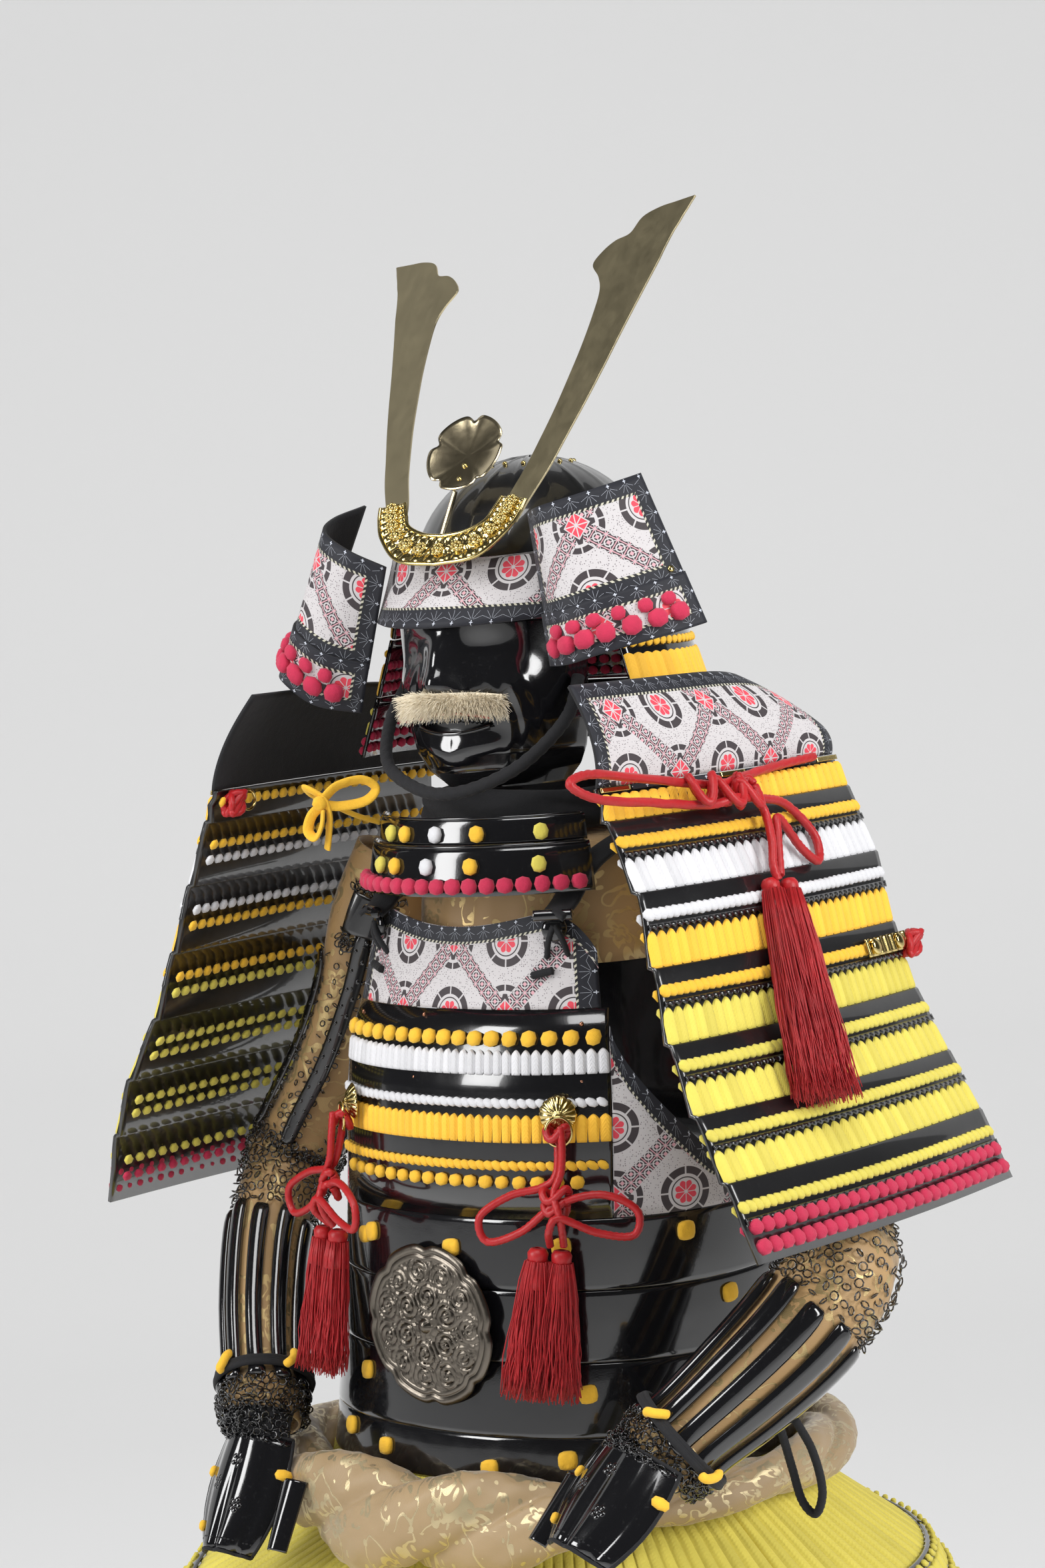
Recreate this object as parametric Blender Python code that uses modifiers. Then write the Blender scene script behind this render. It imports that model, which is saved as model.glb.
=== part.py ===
"""Samurai armour as worn: helmet, face mask, throat guard, laced cuirass, shoulder guards, armoured sleeves, sash and skirt.

Metres. +Z is up, -Y is the wearer's front and +X the wearer's left. The origin is on the body axis, level with the
tops of the shoulders. Every piece is hollow or open where the wearer goes in.
"""

import bmesh
import bpy
import numpy as np

for old in list(bpy.data.objects):
    bpy.data.objects.remove(old, do_unlink=True)
armour = bpy.data.collections.new("samurai_armour")
bpy.context.scene.collection.children.link(armour)

# Driving sizes: walls of the plates, leather, cloth and metal
PLATE, LEATHER, CLOTH, METAL = 0.0026, 0.0024, 0.0024, 0.0016

# How the helmet sits: turned to the left in degrees, and moved to the right
HEAD_YAW, HEAD_SHIFT = 6.5, -0.0105

# Colour, roughness and metal of each kind of material
KINDS = {
    "lacquer": ((0.012, 0.012, 0.014), 0.18, 0.0),
    "black_cloth": ((0.012, 0.012, 0.014), 0.85, 0.0),
    "print": ((0.62, 0.6, 0.6), 0.6, 0.0),
    "orange_lace": ((0.9, 0.5, 0.03), 0.8, 0.0),
    "red_cord": ((0.7, 0.01, 0.01), 0.5, 0.0),
    "brass": ((0.55, 0.42, 0.2), 0.35, 1.0),
    "gilt": ((0.85, 0.62, 0.2), 0.2, 1.0),
    "bronze": ((0.2, 0.17, 0.14), 0.35, 1.0),
    "brocade": ((0.42, 0.27, 0.11), 0.5, 0.0),
    "fur": ((0.8, 0.7, 0.52), 0.9, 0.0),
}


def finish(name, kind, data):
    """Links a mesh or curve as a named node with its own material."""
    colour, rough, metal = KINDS[kind]
    mat = bpy.data.materials.new(name)
    mat.use_nodes = True
    shader = mat.node_tree.nodes["Principled BSDF"]
    shader.inputs["Base Color"].default_value = (*colour, 1)
    shader.inputs["Roughness"].default_value = rough
    shader.inputs["Metallic"].default_value = metal
    data.materials.append(mat)
    obj = bpy.data.objects.new(name, data)
    armour.objects.link(obj)
    return obj


def shell(name, kind, xyz, wall, closed=False, pole=False, cut=None):
    """A sheet through a rows x columns array of points, given its wall by Solidify. closed joins the last column to the
    first, pole gathers the first row into one point, and cut is a rows x columns mask of cells left open."""
    rows, cols = xyz.shape[:2]
    bm = bmesh.new()
    bmesh.ops.create_grid(bm, x_segments=cols - 1, y_segments=rows - 1, size=1)
    bm.verts.ensure_lookup_table()
    bm.faces.ensure_lookup_table()
    for vert, point in zip(bm.verts, xyz.reshape(-1, 3)):
        vert.co = point
    if cut is not None:
        bmesh.ops.delete(bm, geom=[f for f, c in zip(bm.faces[:], cut.ravel()) if c], context="FACES")
    if closed or pole:
        bmesh.ops.remove_doubles(bm, verts=bm.verts[:], dist=1e-6)
    mesh = bpy.data.meshes.new(name)
    bm.to_mesh(mesh)
    bm.free()
    mesh.shade_smooth()
    obj = finish(name, kind, mesh)
    mod = obj.modifiers.new("wall", "SOLIDIFY")
    mod.thickness, mod.offset, mod.use_even_offset, mod.use_quality_normals = wall, 0, True, True
    return obj


def cord(name, kind, points, radius):
    """A round cord along a line of points."""
    curve = bpy.data.curves.new(name, "CURVE")
    curve.dimensions, curve.bevel_depth, curve.bevel_resolution, curve.use_fill_caps = "3D", radius, 1, True
    spline = curve.splines.new("POLY")
    spline.points.add(len(points) - 1)
    for spot, point in zip(spline.points, points):
        spot.co = (*point, 1)
    return finish(name, kind, curve)


def smooth_path(points, count):
    """A Catmull-Rom line through the points, resampled to count points."""
    p = np.array(points, float)
    p = np.vstack([2 * p[0] - p[1], p, 2 * p[-1] - p[-2]])
    t = np.linspace(0, len(p) - 3 - 1e-9, count)
    i, f = t.astype(int), (t % 1)[:, None]
    a, b, c, d = p[i], p[i + 1], p[i + 2], p[i + 3]
    return 0.5 * (2 * b + (c - a) * f + (2 * a - 5 * b + 4 * c - d) * f**2 + (3 * b - a - 3 * c + d) * f**3)


def table(rows, at, column):
    """Reads one column of a table at the places asked for, between its rows."""
    rows = np.array(rows, float)
    order = np.argsort(rows[:, 0])
    return np.interp(at, rows[order, 0], rows[order, column])


def stack(x, y, z):
    return np.stack(np.broadcast_arrays(x, y, z), -1)


def head(points):
    """Carries points from the helmet's own square frame to where the head is turned."""
    c, w = np.cos(np.radians(HEAD_YAW)), np.sin(np.radians(HEAD_YAW))
    x, y, z = np.moveaxis(np.asarray(points, float), -1, 0)
    return stack(c * x - w * y + HEAD_SHIFT, w * x + c * y, z)


# Cuirass
# A row for each level: height, half width, half depth of the body's outline, and how far it has shifted sideways
TORSO = [(-0.08, 0.150, 0.125, 0.0), (-0.12, 0.160, 0.134, 0.0), (-0.19, 0.178, 0.147, -0.002), (-0.215, 0.184, 0.150, -0.006), (-0.27, 0.190, 0.155, -0.009),
         (-0.36, 0.192, 0.156, -0.015), (-0.47, 0.194, 0.158, -0.025), (-0.575, 0.202, 0.165, -0.034), (-0.60, 0.202, 0.165, -0.034)]
SQUARE = 2.25  # how squarish the outline is: 2 is an ellipse


def torso(phi, z, out=0.0):
    """A point on the body's outline at an angle from the front, turning towards the wearer's left."""
    phi, z = np.broadcast_arrays(np.radians(phi), z)
    a, b = table(TORSO, z, 1), table(TORSO, z, 2)
    r = (np.abs(np.sin(phi) / a) ** SQUARE + np.abs(np.cos(phi) / b) ** SQUARE) ** (-1 / SQUARE) + out
    return stack(r * np.sin(phi) + table(TORSO, z, 3), -r * np.cos(phi), z)


PANEL = 51.0  # half angle of the laced front panel
TOP, BREAST, WAIST = -0.112, -0.190, -0.358

phi = np.linspace(-PANEL + 2, PANEL - 2, 15)
v = np.linspace(0, 1, 5)[:, None]
dip = TOP - 0.013 * np.cos(np.radians(phi * 90 / 34)).clip(0) ** 0.8 - 0.028 * (np.abs(phi) / 48) ** 8
shell("chest_plate", "print", torso(phi, dip + (BREAST - dip) * v), LEATHER)

# Front panel: lacquered lames with the lacing standing out. Height of each band's top and how far it stands out
BANDS = [(-0.1905, 0.0), (-0.200, 0.0), (-0.201, 0.004), (-0.224, 0.004), (-0.225, 0.0035), (-0.241, 0.0035),
         (-0.242, 0.0), (-0.2555, 0.0), (-0.2565, 0.004), (-0.272, 0.004), (-0.273, 0.003), (-0.296, 0.003),
         (-0.297, 0.0), (-0.3055, 0.0), (-0.3065, 0.004), (-0.322, 0.004), (-0.323, 0.0), (-0.358, 0.0)]
bands = np.array(BANDS)
phi = np.linspace(-PANEL, PANEL, 11)
shell("front_panel", "lacquer", torso(phi, bands[:, :1], bands[:, 1:]), PLATE)

# Side guards: printed leather from the panel's edge to under the arm, scooped for the arm
for side, name in ((1, "left"), (-1, "right")):
    u = np.linspace(0, 1, 9)
    top = -0.205 - 0.118 * np.clip(u / 0.55, 0, 1) ** 0.7
    v = np.linspace(0, 1, 5)[:, None]
    shell(f"side_guard_{name}", "print", torso(side * (PANEL + 0.3 + 52.3 * u), top + (WAIST - top) * v), LEATHER)

phi = np.linspace(104.0, 256.0, 13)
v = np.linspace(0, 1, 5)[:, None]
top = -0.105 - 0.11 * np.abs((phi - 180) / 76) ** 3
shell("back_plate", "lacquer", torso(phi, top + (WAIST - top) * v), PLATE)

# Belly hoops, each a full ring
for i, (top, low) in enumerate(((-0.3587, -0.4163), (-0.4170, -0.4753), (-0.4760, -0.5363), (-0.5370, -0.5750))):
    phi = np.linspace(0, 360, 31)
    z = np.array([top, low])[:, None]
    out = np.array([0.0, 0.001])[:, None]
    shell(f"belly_hoop_{i + 1}", "lacquer", torso(phi, z, out), PLATE, closed=True)

# Shoulder straps, from the back plate over the shoulders to the chest plate
for side, name in ((1, "left"), (-1, "right")):
    mid = smooth_path([(0.096, -0.132, -0.113), (0.096, -0.112, -0.102), (0.100, -0.080, -0.072),
                       (0.120, -0.030, -0.049), (0.124, 0.030, -0.049), (0.118, 0.080, -0.066), (0.104, 0.118, -0.104)], 10)
    w = np.array([-1, 0, 1]) * 0.013
    xyz = mid[:, None, :] + stack(w[None, :], 0 * w[None, :], -30 * w[None, :] ** 2)
    xyz[..., 0] *= side
    shell(f"shoulder_strap_{name}", "black_cloth", xyz, 0.004)


def disc(name, kind, centre, across, up, radius, wall, lobes=0, depth=0.0, bulge=0.004, rim=0.0, count=24, rings=(0.0, 0.5, 0.85, 1.0)):
    """A round or lobed plate, domed by bulge and turned up at its rim, with its plane given by across and up."""
    across, up = np.array(across, float), np.array(up, float)
    out = np.cross(across, up)
    ang = np.linspace(0, 2 * np.pi, count + 1)
    r = radius * (1 - depth * np.abs(np.cos(ang * lobes / 2)) ** 12 if lobes else 1 + 0 * ang)
    s = np.array(rings)[:, None]
    lift = bulge * (1 - s**2) + rim * (s > 0.86)
    xyz = (s * r * np.cos(ang))[..., None] * across + (s * r * np.sin(ang))[..., None] * up + (lift + 0 * ang)[..., None] * out
    return shell(name, kind, xyz + np.array(centre), wall, closed=True, pole=True)


disc("plaque", "bronze", (-0.030, -0.1636, -0.448), (1, 0, 0), (0, 0, 1), 0.066, 0.003, lobes=8, depth=0.04, bulge=0.005, rim=0.001, count=32)

for side, name in ((1, "left"), (-1, "right")):
    q = torso(side * 37.5, -0.272, 0.0084)
    n = np.array([np.sin(np.radians(side * 37)), -np.cos(np.radians(side * 37)), 0])
    disc(f"rosette_{name}", "gilt", q, (-n[1], n[0], 0), (0, 0, 1), 0.014, METAL, bulge=0.006, count=14, rings=(0.0, 0.6, 1.0))


def tassel(name, top, end, face, width, thick, broad=0.022, deep=0.011):
    """A pair of tassels on one bound head, with 24 three-sided strands drawn out of its underside. face is the way it
    looks, width and thick are half the spread of the strands' ends, and broad and deep are the head's half sizes."""
    top, end, face = (np.array(p, float) for p in (top, end, face))
    down = (end - top) / np.linalg.norm(end - top)
    length = np.linalg.norm(end - top)
    side = np.cross(face, down)
    side /= np.linalg.norm(side)
    face = np.cross(down, side)
    bm = bmesh.new()
    tall = 0.020
    ring = [[(0.0, 0.0)]]
    for k in (1, 2):
        ring.append([(k / 2 * np.cos(a), k / 2 * np.sin(a)) for a in np.arange(6 * k) * np.pi / (3 * k)])
    vert = [[bm.verts.new((x * broad, y * deep, 0)) for x, y in r] for r in ring]
    faces = [bm.faces.new((vert[0][0], vert[1][i], vert[1][(i + 1) % 6])) for i in range(6)]
    for i in range(6):
        a, b = vert[1][i], vert[1][(i + 1) % 6]
        c, d, e = vert[2][2 * i], vert[2][2 * i + 1], vert[2][(2 * i + 2) % 12]
        faces += [bm.faces.new(t) for t in ((a, c, d), (a, d, b), (b, d, e))]
    low = vert[2]
    for r, z in ((1.05, -0.45), (0.75, -0.85)):
        high = [bm.verts.new((v.co.x * r, v.co.y * r, z * tall)) for v in vert[2]]
        for i in range(12):
            bm.faces.new((low[i], high[i], high[(i + 1) % 12], low[(i + 1) % 12]))
        low = high
    tip = bm.verts.new((0, 0, -tall))
    for i in range(12):
        bm.faces.new((low[i], tip, low[(i + 1) % 12]))
    bmesh.ops.inset_individual(bm, faces=faces, thickness=0.00035, use_even_offset=True)
    home = {i: f.calc_center_median().copy() for i, f in enumerate(faces)}
    for share in (0.45, 1.0):
        new = bmesh.ops.extrude_discrete_faces(bm, faces=faces)["faces"]
        for i, f in enumerate(new):
            c, old = home[i], f.calc_center_median().copy()
            wide = 1 + (width / broad - 1) * share**0.7
            far = 1 + (thick / deep - 1) * share**0.7
            grow = 1 + 0.15 * (share < 1)
            for v in f.verts:
                v.co.x = c.x * wide + (v.co.x - old.x) * grow
                v.co.y = c.y * far + (v.co.y - old.y) * grow
                v.co.z = (length - tall) * share * (1 - 0.03 * (i % 3))
        faces = new
    bmesh.ops.triangulate(bm, faces=bm.faces[:])
    bmesh.ops.recalc_face_normals(bm, faces=bm.faces[:])
    for v in bm.verts:
        x, y, z = v.co
        v.co = top + down * (z + tall) + side * x + face * y
    mesh = bpy.data.meshes.new(name)
    bm.to_mesh(mesh)
    bm.free()
    return finish(name, "red_cord", mesh)


# Chest tassels: a doubled cord from each rosette, a bow knot and a pair of tassels, hanging as photographed
HANG = np.array([-0.049, -0.041, -0.998])
BOW = [(0, -0.009, 0.003), (0, -0.044, 0.004), (-0.012, -0.056, 0.002), (-0.038, -0.062, 0.0), (-0.062, -0.078, 0.0),
       (-0.056, -0.098, 0.0), (-0.028, -0.090, 0.006), (0.0, -0.069, 0.012), (0.036, -0.062, 0.010), (0.064, -0.076, 0.006),
       (0.062, -0.096, 0.006), (0.034, -0.092, 0.012), (0.004, -0.078, 0.020), (-0.004, -0.088, 0.020), (-0.005, -0.1028, 0.0045)]
for side, name in ((1, "left"), (-1, "right")):
    n = np.array([np.sin(np.radians(side * 32)), -np.cos(np.radians(side * 32)), 0])
    across = np.array([-n[1], n[0], 0])
    q = torso(side * 37.5, -0.272, 0.0139)
    bow = np.array(BOW)
    away = bow[:, 2:] + (0.45 * np.clip(-bow[:, :1], 0, 1) + 0.007 * np.clip(-bow[:, 1:2] / 0.04 - 0.25, 0, 1) if side < 0 else 0.004 * np.clip(-bow[:, 1:2] / 0.04 - 0.25, 0, 1))  # the far bow stands off the hoops
    line = q + bow[:, :1] * across - bow[:, 1:2] * HANG + away * n
    cord(f"chest_cord_{name}", "red_cord", smooth_path(line, 27), 0.0032)
    top = q + 0.105 * HANG + n * (0.0085 if side > 0 else 0.0137) - across * 0.005
    look = n if side > 0 else np.array([-0.15, -1, 0])
    tassel(f"chest_tassel_{name}", top, top + 0.122 * HANG - across * 0.008 * (side > 0) + n * 0.008 * (side < 0), look, 0.044 if side > 0 else 0.038, 0.016)

# Throat guard: two curved lames under the mask
NECK_Y = -0.027
for name, levels in (("throat_lame_upper", [(-0.036, 0.124), (-0.040, 0.126), (-0.0570, 0.129)]),
                     ("throat_lame_lower", [(-0.058, 0.133), (-0.062, 0.135), (-0.078, 0.138), (-0.097, 0.141)])):
    phi = np.radians(np.linspace(-60, 58, 13))
    z, r = np.array(levels)[:, :1], np.array(levels)[:, 1:]
    shell(name, "lacquer", stack(r * np.sin(phi), NECK_Y - r * np.cos(phi), z), PLATE)

# Neck wrap of black cloth, a soft ring under the chin
ang = np.linspace(0, 2 * np.pi, 21)
WRAP = [(-0.030, 0.066), (-0.020, 0.078), (-0.022, 0.091), (-0.034, 0.096), (-0.0488, 0.092)]
z, r = np.array(WRAP)[:, :1], np.array(WRAP)[:, 1:]
shell("neck_wrap", "black_cloth", stack(r * np.sin(ang), -0.02 - r * 1.02 * np.cos(ang), z + 0.002 * np.cos(3 * ang)), 0.003, closed=True)

# Yoke of the sleeves: brocade over the shoulders, open at the neck and below
YOKE = [(0.080, 0.082, -0.0525), (0.1065, 0.100, -0.0615), (0.120, 0.106, -0.0775), (0.120, 0.110, -0.110), (0.122, 0.116, -0.160)]
rows = np.array(YOKE)
shell("yoke", "brocade", stack(rows[:, :1] * np.sin(ang), -rows[:, 1:2] * np.cos(ang), rows[:, 2:]), CLOTH, closed=True)

# Yellow ribbon bow that ties the throat guard at the wearer's right
cord("neck_ribbon", "orange_lace", smooth_path([(-0.1118, -0.0932, -0.0450), (-0.1245, -0.1100, -0.0370), (-0.1370, -0.1240, -0.0270), (-0.1500, -0.1360, -0.0170),
     (-0.1450, -0.1460, -0.0110), (-0.1330, -0.1400, -0.0200), (-0.1300, -0.1370, -0.0340), (-0.1340, -0.1350, -0.0500), (-0.1380, -0.1340, -0.0640)], 16), 0.0045)

# Face mask: a half face of lacquered plate, open at the mouth and behind
# A row for each level: height, scale of the outline
MASK = [(-0.014, 0.66), (0.0, 0.84), (0.015, 0.93), (0.04, 0.985), (0.07, 1.0), (0.10, 1.02), (0.124, 1.03)]
phi = np.linspace(-84, 84, 17)
z = np.array([0.120, 0.106, 0.090, 0.076, 0.064, 0.052, 0.0465, 0.0325, 0.027, 0.014, 0.0, -0.014])[:, None]


def mask_surface(phi, z, out=0.0):
    """The face: an oval with a nose, cheekbones, lips and chin raised by rounded bumps."""
    k = table(MASK, z, 1)
    bump = lambda f, h, wf, wh: np.exp(-(((np.abs(phi) - f) / wf) ** 2) - ((z - h) / wh) ** 2)
    r = k * (1 + 0 * phi) + 0.20 * bump(0, 0.070, 12, 0.014) + 0.12 * bump(0, 0.092, 9, 0.018) + 0.09 * bump(0, 0.006, 22, 0.016)
    r = r + 0.05 * bump(38, 0.070, 15, 0.016) + 0.035 * bump(14, 0.022, 16, 0.008) - 0.05 * bump(24, 0.100, 12, 0.012)
    return stack((0.080 * r + out) * np.sin(np.radians(phi)), -0.038 - (0.097 * r + out) * np.cos(np.radians(phi)), z)


mouth = (np.abs((z[:-1] + z[1:]) / 2 - 0.0395) < 0.004) & (np.abs((phi[:-1] + phi[1:]) / 2)[None, :] < 25)
shell("face_mask", "lacquer", head(mask_surface(phi, z)), 0.0026, cut=mouth)
p = np.linspace(-33, 33, 9)
drop = np.array([0.0650, 0.0610, 0.0530, 0.0500])[:, None] - 0.004 * np.abs(p / 33) ** 2
shell("moustache", "fur", head(mask_surface(p, drop, np.array([0.0055, 0.0095, 0.0095, 0.0060])[:, None])), 0.005)

# Chin cord of the helmet, round the mask's chin
CHIN = [(0.0842, -0.067, 0.072), (0.087, -0.093, 0.040), (0.068, -0.127, 0.008), (0.034, -0.142, -0.010), (0.0, -0.148, -0.016)]
cord("chin_cord", "black_cloth", head(smooth_path(CHIN + [(-x, y, z) for x, y, z in CHIN[-2::-1]], 17)), 0.0055)

# Helmet bowl, open below
ang = np.linspace(0, 2 * np.pi, 25)
lat = np.linspace(0, 1, 7)[:, None] ** 0.85 * np.pi / 2
shell("helmet_bowl", "lacquer", head(stack(0.004 + 0.100 * np.sin(lat) * np.sin(ang), 0.004 - 0.106 * np.sin(lat) * np.cos(ang), 0.153 + 0.098 * np.cos(lat))),
      0.0022, closed=True, pole=True)

# Visor: printed leather on plate, flaring forward over the brow from a lip round the foot of the bowl
phi = np.linspace(-71, 71, 17)
v = np.linspace(0, 1, 4)[:, None]
a, b, f = 0.107 + 0.010 * v, 0.115 + 0.027 * v**1.2, np.radians(phi)
rise = 0.012 * (np.abs(phi) / 80) ** 2
lip = stack(0.004 + 0.1014 * np.sin(f), 0.004 - 0.1074 * np.cos(f), 0.1700 + rise)
brim = stack(a * np.sin(f), -0.005 - b * np.cos(f), 0.168 - 0.050 * v + rise)
shell("visor", "print", head(np.vstack([lip[None], brim])), 0.003)

# Neck guard: three laced lames round the sides and back
# Height, half width and half depth at the top and foot of each lame
NECK = [(0.148, 0.112, 0.120, 0.1070, 0.119, 0.126), (0.106, 0.1222, 0.1292, 0.0590, 0.138, 0.136), (0.058, 0.141, 0.139, 0.008, 0.160, 0.146)]
for i, (z0, a0, b0, z1, a1, b1) in enumerate(NECK):
    phi = np.radians(np.linspace(62 + 3 * i, 298 - 3 * i, 19))
    v = np.array([0, 0.5, 1.0])[:, None]
    a, b, z = a0 + (a1 - a0) * v, b0 + (b1 - b0) * v, z0 + (z1 - z0) * v
    shell(f"neck_guard_{i + 1}", "lacquer", head(stack(a * np.sin(phi), 0.004 - b * np.cos(phi), z + 0 * phi)), PLATE)

# Turn-backs of the neck guard, curled outwards beside the face. x, y, z of five points across the top and the foot of each
WINGS = {
    "left": ([(0.0760, -0.102, 0.205), (0.102, -0.120, 0.209), (0.128, -0.114, 0.215), (0.149, -0.090, 0.223), (0.158, -0.060, 0.230)],
             [(0.0890, -0.098, 0.082), (0.128, -0.124, 0.084), (0.160, -0.117, 0.092), (0.190, -0.086, 0.101), (0.206, -0.050, 0.109)]),
    "right": ([(-0.0655, -0.118, 0.168), (-0.092, -0.134, 0.184), (-0.120, -0.130, 0.200), (-0.134, -0.102, 0.211), (-0.131, -0.066, 0.220)],
              [(-0.114, -0.106, 0.049), (-0.142, -0.132, 0.058), (-0.166, -0.141, 0.078), (-0.184, -0.118, 0.086), (-0.188, -0.082, 0.092)]),
}
for name, (top, foot) in WINGS.items():
    top, foot = smooth_path(top, 9), smooth_path(foot, 9)
    v = np.linspace(0, 1, 5)[:, None, None]
    shell(f"turn_back_{name}", "print", top * (1 - v) + foot * v, LEATHER + 0.0006)

# Horns of sheet brass. Columns: outer edge across and along, inner edge across and along
HORN = [(0.0640, 0.0280, 0.0440, 0.0300), (0.0715, 0.0472, 0.0497, 0.0540), (0.0850, 0.0770, 0.0603, 0.0812), (0.0955, 0.1070, 0.0689, 0.1094),
        (0.1060, 0.1370, 0.0767, 0.1382), (0.1160, 0.1680, 0.0831, 0.1676), (0.1250, 0.1980, 0.0889, 0.1974), (0.1345, 0.2280, 0.0930, 0.2277),
        (0.1430, 0.2540, 0.0945, 0.2520), (0.1480, 0.2690, 0.0900, 0.2680), (0.1510, 0.2800, 0.0811, 0.2831), (0.1545, 0.2915, 0.0880, 0.2954),
        (0.1575, 0.3000, 0.0991, 0.3041), (0.1605, 0.3065, 0.1126, 0.3084), (0.1635, 0.3140, 0.1218, 0.3229), (0.1665, 0.3205, 0.1374, 0.3292),
        (0.1690, 0.3265, 0.1546, 0.3310), (0.1716, 0.3322, 0.1708, 0.3326)]
# How each horn sits in its socket, in degrees: turned about its foot, leaning back, and tipped in its own plane
SOCKET = {"left": (-4.9, 35.5, 8.0), "right": (-11.7, 36.8, -8.0)}
horn = np.array(HORN)
w = np.array([0, 0.5, 1.0])
for side, name in ((1, "left"), (-1, "right")):
    turn, lean, tip = np.radians(SOCKET[name])
    x = horn[:, :1] * (1 - w) + horn[:, 2:3] * w - 0.06
    t = horn[:, 1:2] * (1 - w) + horn[:, 3:] * w - 0.03
    x, t = (x * np.cos(tip) - t * np.sin(tip)) * side, x * np.sin(tip) + t * np.cos(tip)
    back = t * np.sin(lean)
    foot = (side * 0.06, -0.130 + 0.03 * np.sin(lean), 0.175 + 0.03 * np.cos(lean))
    shell(f"horn_{name}", "brass", head(stack(x * np.cos(turn) - back * np.sin(turn) + foot[0], x * np.sin(turn) + back * np.cos(turn) + foot[1], t * np.cos(lean) + foot[2])), METAL)

LEAN = np.radians(33.0)  # how far the holder and the flower disc lean back


def crest_plane(across, along, out):
    """Points in the plane of the crest: across, along its slope, and out in front of it."""
    return head(stack(across, -0.130 + along * np.sin(LEAN) - out * np.cos(LEAN), 0.175 + along * np.cos(LEAN) + out * np.sin(LEAN)))


# Holder: a U of gilt openwork. Columns: outer edge across and along, inner edge across and along
HOLDER = [(0.0720, 0.046, 0.0470, 0.050), (0.0690, 0.032, 0.0420, 0.038), (0.0603, 0.0142, 0.0360, 0.027), (0.0380, -0.0067, 0.0190, 0.0190), (0.0, -0.012, 0.0, 0.0165)]
half = smooth_path(HOLDER, 9)
full = np.vstack([half, half[-2::-1] * [-1, 1, -1, 1]])
across = full[:, :1] * (1 - w) + full[:, 2:3] * w
along = full[:, 1:2] * (1 - w) + full[:, 3:] * w
shell("horn_holder", "gilt", crest_plane(across, along, 0.0030 + 0.0015 * np.array([0, 1, 0])), 0.0032)

# Flower disc on its stalk, in front of the bowl
flower = crest_plane(np.array([-0.006, 0.994, -0.006]), np.array([0.098, 0.098, 1.098]), 0.0)
disc("crest_flower", "brass", flower[0], flower[1] - flower[0], flower[2] - flower[0], 0.036, METAL, lobes=5, depth=0.10, bulge=-0.005, count=30)
cord("crest_stalk", "brass", crest_plane(np.array([-0.006, -0.006]), np.array([0.004, 0.0614]), -0.0010), 0.0022)

# Shoulder guards. A row for each lame's top: front x, front y, height, back x, back y
SODE = [(0.203, -0.197, -0.008, 0.216, 0.098), (0.209, -0.199, -0.034, 0.225, 0.098), (0.235, -0.199, -0.088, 0.246, 0.103), (0.252, -0.207, -0.144, 0.266, 0.092),
        (0.270, -0.216, -0.200, 0.275, 0.106), (0.297, -0.225, -0.251, 0.299, 0.112), (0.320, -0.223, -0.300, 0.317, 0.126), (0.342, -0.216, -0.362, 0.330, 0.150)]


def sode_surface(u, s, out=0.0):
    """Shoulder guard: u runs from the front edge to the back, s counts the lames downwards."""
    u, s = np.broadcast_arrays(u, s)
    rows = np.array(SODE)
    get = lambda c: np.interp(s, np.arange(len(rows)), rows[:, c])
    x = get(0) * (1 - u) + get(3) * u + 0.010 * np.sin(np.pi * u) + out
    y = get(1) * (1 - u) + get(4) * u
    return stack(x, y, get(2) + 0.2 * out)


for side, name in ((1, "left"), (-1, "right")):
    rows = []  # how far down in lames, and how far out: each lame's top stands outside the foot of the one above
    for k in range(7):
        end = k + (0.97 if k < 6 else 1.0)
        rows += [(k + 0.001, 0.004 if k else 0.0), (k + 0.22, 0.004 if k else 0.0), (end, -0.001 if k < 6 else 0.003)]
    rows = np.array(rows)
    u = np.linspace(0, 1, 6)
    xyz = sode_surface(u, rows[:, :1], rows[:, 1:] - 0.002) * [side, 1, 1]
    shell(f"shoulder_guard_{name}", "lacquer", xyz, 0.003)
    v, u = np.linspace(0, 1, 5)[:, None], np.linspace(0, 1, 8)
    y0, y1 = -0.197, 0.098
    y = y0 + 0.018 * v + (y1 - y0 - 0.058 * v**3) * u
    x = 0.204 + 0.010 * u - 0.036 * v**1.4 + 0.008 * np.sin(np.pi * u) + 0.004 * np.sin(np.pi * v)
    zt = -0.0075 + 0.077 * v - 0.030 * v * u**9
    shell(f"crown_plate_{name}", "print", stack(x * side, y, zt), LEATHER + 0.0006)

# Red cord tied across the top of the left shoulder guard. Each row: along y, height, out from the guard
SODE_CORD = [(0.062, -0.006, 0.0040), (0.020, -0.008, 0.0040), (-0.030, -0.011, 0.007), (-0.082, -0.015, 0.012), (-0.112, -0.012, 0.010), (-0.174, -0.002, 0.008),
             (-0.230, 0.006, 0.010), (-0.257, 0.001, 0.010), (-0.233, -0.012, 0.010), (-0.172, -0.021, 0.010), (-0.105, -0.029, 0.014), (-0.080, -0.026, 0.021),
             (-0.045, -0.030, 0.019), (-0.012, -0.038, 0.015), (0.012, -0.064, 0.012), (0.004, -0.084, 0.012), (-0.014, -0.072, 0.014), (-0.036, -0.046, 0.021),
             (-0.044, -0.060, 0.019), (-0.0575, -0.0913, 0.016)]


def beside_sode(y, z, out):
    """A point beside the left shoulder guard's outer face, by its y and height."""
    rows = np.array(SODE)
    x = np.interp(-z, -rows[:, 2], (rows[:, 0] + rows[:, 3]) / 2) - 0.45 * np.clip(z + 0.008, 0, 1)
    return stack(x + 0.010 + out, y, z)


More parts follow.
